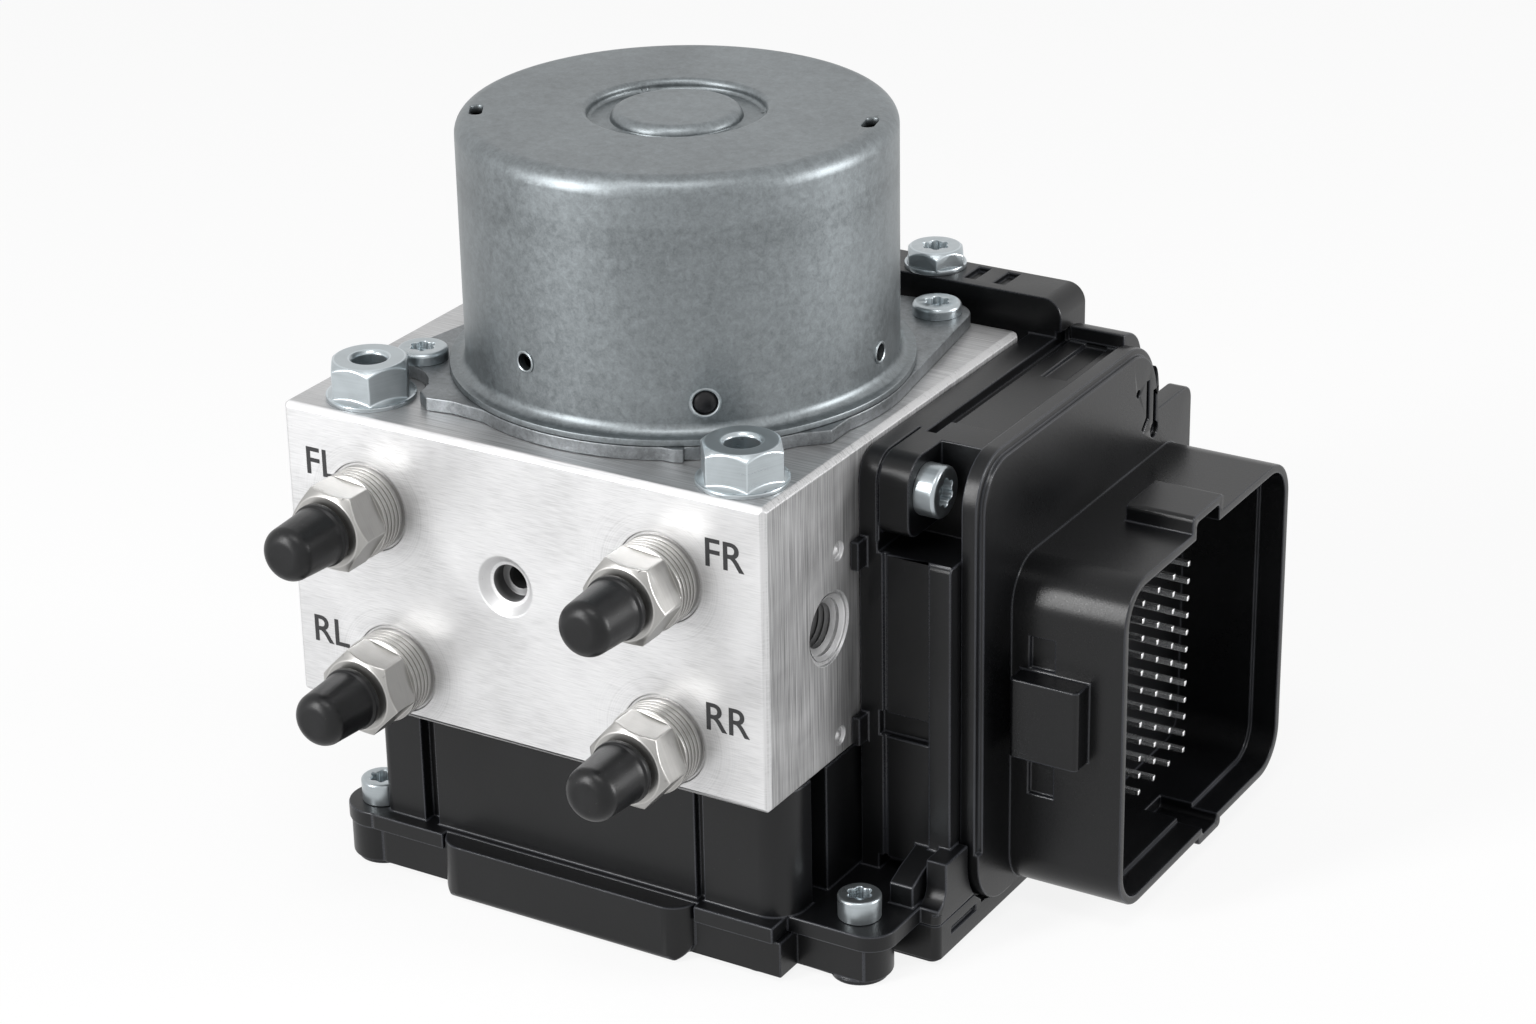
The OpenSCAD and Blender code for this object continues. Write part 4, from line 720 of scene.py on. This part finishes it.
class BRAKE_OT_block(bpy.types.Operator):
    """Finish the milled valve block"""

    bl_idname = "brake.block"
    bl_label = "Valve block"

    def execute(self, context):
        sizes = context.scene.brake.block
        boxes = [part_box(port + "_fitting") for port in PORTS]
        ports = [((low[0] + high[0]) / 2.0, (low[2] + high[2]) / 2.0) for low, high in boxes]
        block_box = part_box("valve_block")
        aluminium = milled_aluminium("Milled aluminium", sizes.colour, ports, block_box, 0.5)
        softened_copy("valve_block", sizes.edge, aluminium)
        port = next(mount for mount in frame["record"]["mounts"] if mount["name"] == "side_port")
        mouth = (block_box[1][0], *port["pos_m"][1:])
        port_r, port_l = (port["dims"][key] / 1000.0 for key in ("r_mm", "length_mm"))
        thread_rings(mouth, port_r, port_l, aluminium)
        return {"FINISHED"}


class BRAKE_OT_motor(bpy.types.Operator):
    """Finish the motor can and its plate"""

    bl_idname = "brake.motor"
    bl_label = "Motor can and plate"

    def execute(self, context):
        sizes = context.scene.brake.motor
        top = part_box("motor_can")[1][2]
        bands = [(top - drop, half, share) for drop, half, share in CAN_BANDS]
        can = zinc_sheet("Drawn zinc sheet", sizes.can_colour, bands=bands)
        softened_copy("motor_can", sizes.edge, can)
        # Painted highlight: the hole lips are a lighter copy of the can's zinc.
        bright = zinc_sheet("Hole lips", shaded(sizes.can_colour, 1.45), 0.26)
        rubber = soft_rubber("Plug rubber", PLUG_RUBBER)
        for turn, drop, hole_r in CAN_HOLES:
            can_hole(turn, drop, hole_r, top, bright, rubber)
        plate = zinc_sheet("Stamped zinc sheet", sizes.plate_colour, 0.32, 60.0, 1.3)
        softened_copy("motor_flange", sizes.edge * STAMPED_SHARE, plate)
        return {"FINISHED"}


class BRAKE_OT_fasteners(bpy.types.Operator):
    """Finish the bolts and screws"""

    bl_idname = "brake.fasteners"
    bl_label = "Bolts and screws"

    def execute(self, context):
        sizes = context.scene.brake.fastener
        upright = turned_metal("Bright zinc, upright", sizes.colour, 0.20, "Z")
        for node in ("block_bolts", "motor_screws", "rear_bolt", "bottom_cover_screws"):
            softened_copy(node, sizes.edge, upright)
        lying = turned_metal("Bright zinc, lying", sizes.colour, 0.20, "Y")
        softened_copy("side_screw", sizes.edge, lying)
        return {"FINISHED"}


class BRAKE_OT_fittings(bpy.types.Operator):
    """Finish the four pipe fittings and their rubber caps"""

    bl_idname = "brake.fittings"
    bl_label = "Fittings and caps"

    def execute(self, context):
        sizes = context.scene.brake.fitting
        nickel = turned_metal("Satin nickel", sizes.colour, 0.22, "Y", 0.5)
        rubber = soft_rubber("Cap rubber", sizes.cap_colour)
        for port in PORTS:
            softened_copy(port + "_fitting", sizes.edge, nickel)
            softened_copy(port + "_cap", sizes.edge * RUBBER_SHARE, rubber)
        return {"FINISHED"}


class BRAKE_OT_housing(bpy.types.Operator):
    """Finish the housing, its covers, the plug socket and the pins"""

    bl_idname = "brake.housing"
    bl_label = "Housing and plug socket"

    def execute(self, context):
        sizes = context.scene.brake.housing
        body = moulded_plastic("Housing plastic", sizes.colour, 0.24)
        cover = moulded_plastic("Cover plastic", shaded(sizes.colour, 1.1), 0.20)
        base = moulded_plastic("Base plastic", shaded(sizes.colour, 0.95), 0.24)
        softened_copy("housing", sizes.edge, body)
        softened_copy("connector_cover", sizes.edge, cover)
        softened_copy("bottom_cover", sizes.edge, base)
        pin_metal = turned_metal("Tinned pin", sizes.pin_colour, 0.15, "X")
        softened_copy("connector_pins", PIN_EDGE, pin_metal)
        return {"FINISHED"}


class BRAKE_OT_inner(bpy.types.Operator):
    """Finish the parts inside the motor, the block and the housing"""

    bl_idname = "brake.inner"
    bl_label = "Inner parts"

    def execute(self, context):
        steel = turned_metal("Ground steel", STEEL, 0.16, "Z")
        lying_steel = turned_metal("Ground steel, lying", STEEL, 0.16, "X")
        brass = turned_metal("Turned brass", (0.62, 0.45, 0.20), 0.18, "Z")
        winding = enamelled_wire("Armature wire", (0.52, 0.20, 0.08))
        coils = enamelled_wire("Coil wire", (0.55, 0.22, 0.09))
        segments = turned_metal("Commutator copper", (0.66, 0.32, 0.16), 0.20, "Z")
        seal = soft_rubber("Seal rubber", (0.016, 0.016, 0.016))
        moulding = moulded_plastic("Carrier plastic", (0.030, 0.030, 0.033), 0.40)
        board = circuit_lacquer("Board lacquer", (0.012, 0.085, 0.035))
        chip = sintered("Chip resin", (0.022, 0.022, 0.024), 0.0, 0.45)
        magnet = sintered("Ferrite", (0.055, 0.055, 0.060), 0.0, 0.55)
        carbon = sintered("Carbon", (0.030, 0.030, 0.031), 0.2, 0.45)
        finish_of = {
            "motor_magnets": magnet, "armature_core": steel, "armature_windings": winding,
            "commutator": segments, "motor_shaft": steel, "brush_holder": moulding, "motor_brushes": carbon,
            "upper_bearing": steel, "lower_bearing": steel, "eccentric_ring": steel,
            "accumulator_caps": steel, "valve_bodies": brass, "solenoid_coils": coils,
            "circuit_board": board, "board_components": chip, "lead_frame": moulding,
            "bottom_cover_seal": seal, "connector_cover_seal": seal,
        }
        for node in frame["nodes"]:
            if node in finish_of:
                dress(node, finish_of[node])
            elif SLOT_OF[node] == "steel":
                dress(node, lying_steel if "pump" in node or "ball" in node else steel)
        return {"FINISHED"}


class BRAKE_OT_marks(bpy.types.Operator):
    """Etch the wheel marks beside the fittings"""

    bl_idname = "brake.marks"
    bl_label = "Wheel marks"

    def execute(self, context):
        sizes = context.scene.brake.marks
        ink = mark_ink("Etched mark", sizes.colour)
        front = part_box("valve_block")[0][1]
        for letters, (left, top) in MARKS.items():
            place = Vector((left, front + MARK_SUNK, top - sizes.height))
            wheel_mark(letters, place, sizes.height, ink)
        return {"FINISHED"}


class BRAKE_OT_studio(bpy.types.Operator):
    """Set up the floor, the soft light and the camera"""

    bl_idname = "brake.studio"
    bl_label = "Floor, light and camera"

    def execute(self, context):
        studio = context.scene.brake.studio
        self.make_floor(studio)
        self.make_world(context.scene, studio)
        for name, (place, width, height, share) in LAMPS.items():
            self.lamp(name, Vector(place), width, height, studio.key * share)
        self.make_camera(context.scene, studio)
        context.scene.view_settings.view_transform = "Standard"
        return {"FINISHED"}

    def make_floor(self, studio):
        shape = bmesh.new()
        bmesh.ops.create_grid(shape, x_segments=1, y_segments=1, size=FLOOR_REACH)
        colour = (*studio.floor, 1.0)
        finish = Finish("Pale floor", **{"Base Color": colour, "Roughness": 0.9, "Specular IOR Level": 0.0})
        glow = finish.node("ShaderNodeEmission", {}, {"Color": colour, "Strength": 1.0})
        share = finish.seen_directly() * studio.floor_glow
        inputs = {0: share, 1: finish.surface.outputs[0], 2: glow.outputs[0]}
        both = finish.node("ShaderNodeMixShader", {}, inputs)
        finish.tree.links.new(both.outputs[0], finish.output.inputs[0])
        floor = piece_from(shape, "floor", finish.material)

    def make_world(self, scene, studio):
        """Even light from all sides; what is seen of the background itself is at full level."""
        world = bpy.data.worlds.new("Soft studio")
        scene.world = world
        world.use_nodes = True
        sky = Nodes(world.node_tree)
        level = sky.seen_directly() * (1.0 - studio.fill) + studio.fill
        colour = (*studio.floor, 1.0)
        background = sky.node("ShaderNodeBackground", {}, {"Color": colour, "Strength": level})
        output = sky.node("ShaderNodeOutputWorld", {}, {})
        sky.tree.links.new(background.outputs[0], output.inputs[0])

    def lamp(self, name, place, width, height, power):
        data = bpy.data.lights.new(name, "AREA")
        data.shape = "RECTANGLE"
        data.size = width
        data.size_y = height
        data.energy = power
        lamp = bpy.data.objects.new(name, data)
        lamp.location = place
        lamp.rotation_euler = (Vector(LAMPS_AIM) - place).to_track_quat("-Z", "Y").to_euler()
        bpy.context.scene.collection.objects.link(lamp)

    def make_camera(self, scene, studio):
        turn, lift, tilt = (math.radians(a) for a in (CAMERA_TURN, CAMERA_LIFT, CAMERA_TILT))
        back = Vector((math.sin(turn) * math.cos(lift), -math.cos(turn) * math.cos(lift), math.sin(lift)))
        right = Vector((math.cos(turn), math.sin(turn), 0.0))
        up = back.cross(right)
        level = Matrix((right, up, back)).transposed()
        data = bpy.data.cameras.new("Camera")
        data.sensor_width = 36.0
        data.lens = studio.lens
        data.clip_start = 0.01
        camera = bpy.data.objects.new("Camera", data)
        camera.rotation_euler = (level @ Matrix.Rotation(tilt, 3, "Z")).to_euler()
        camera.location = Vector(CAMERA_AIM) + back * studio.distance
        scene.collection.objects.link(camera)
        scene.camera = camera


STEPS = (
    BRAKE_OT_block, BRAKE_OT_motor, BRAKE_OT_fasteners, BRAKE_OT_fittings, BRAKE_OT_housing,
    BRAKE_OT_inner, BRAKE_OT_marks, BRAKE_OT_studio,
)


class BRAKE_PT_panel(bpy.types.Panel):
    """Lists the sizes, colours and steps"""

    bl_idname = "BRAKE_PT_panel"
    bl_label = "Brake module"
    bl_space_type = "VIEW_3D"
    bl_region_type = "UI"
    bl_category = "Brake"

    def draw(self, context):
        for name in ("block", "motor", "fastener", "fitting", "housing", "marks", "studio"):
            group = getattr(context.scene.brake, name)
            box = self.layout.box()
            box.label(text=name.capitalize())
            for key in group.bl_rna.properties.keys():
                if key not in ("rna_type", "name"):
                    box.prop(group, key)
        for step in STEPS:
            self.layout.operator(step.bl_idname)


CLASSES = (
    BRAKE_PG_block, BRAKE_PG_motor, BRAKE_PG_fastener, BRAKE_PG_fitting, BRAKE_PG_housing,
    BRAKE_PG_marks, BRAKE_PG_studio, BRAKE_PG_settings, *STEPS, BRAKE_PT_panel,
)


def register():
    for item in CLASSES:
        bpy.utils.register_class(item)
    bpy.types.Scene.brake = PointerProperty(type=BRAKE_PG_settings)


def unregister():
    del bpy.types.Scene.brake
    for item in reversed(CLASSES):
        bpy.utils.unregister_class(item)


def main():
    register()
    bpy.ops.brake.block()
    bpy.ops.brake.motor()
    bpy.ops.brake.fasteners()
    bpy.ops.brake.fittings()
    bpy.ops.brake.housing()
    bpy.ops.brake.inner()
    bpy.ops.brake.marks()
    bpy.ops.brake.studio()


if __name__ == "__main__":
    main()
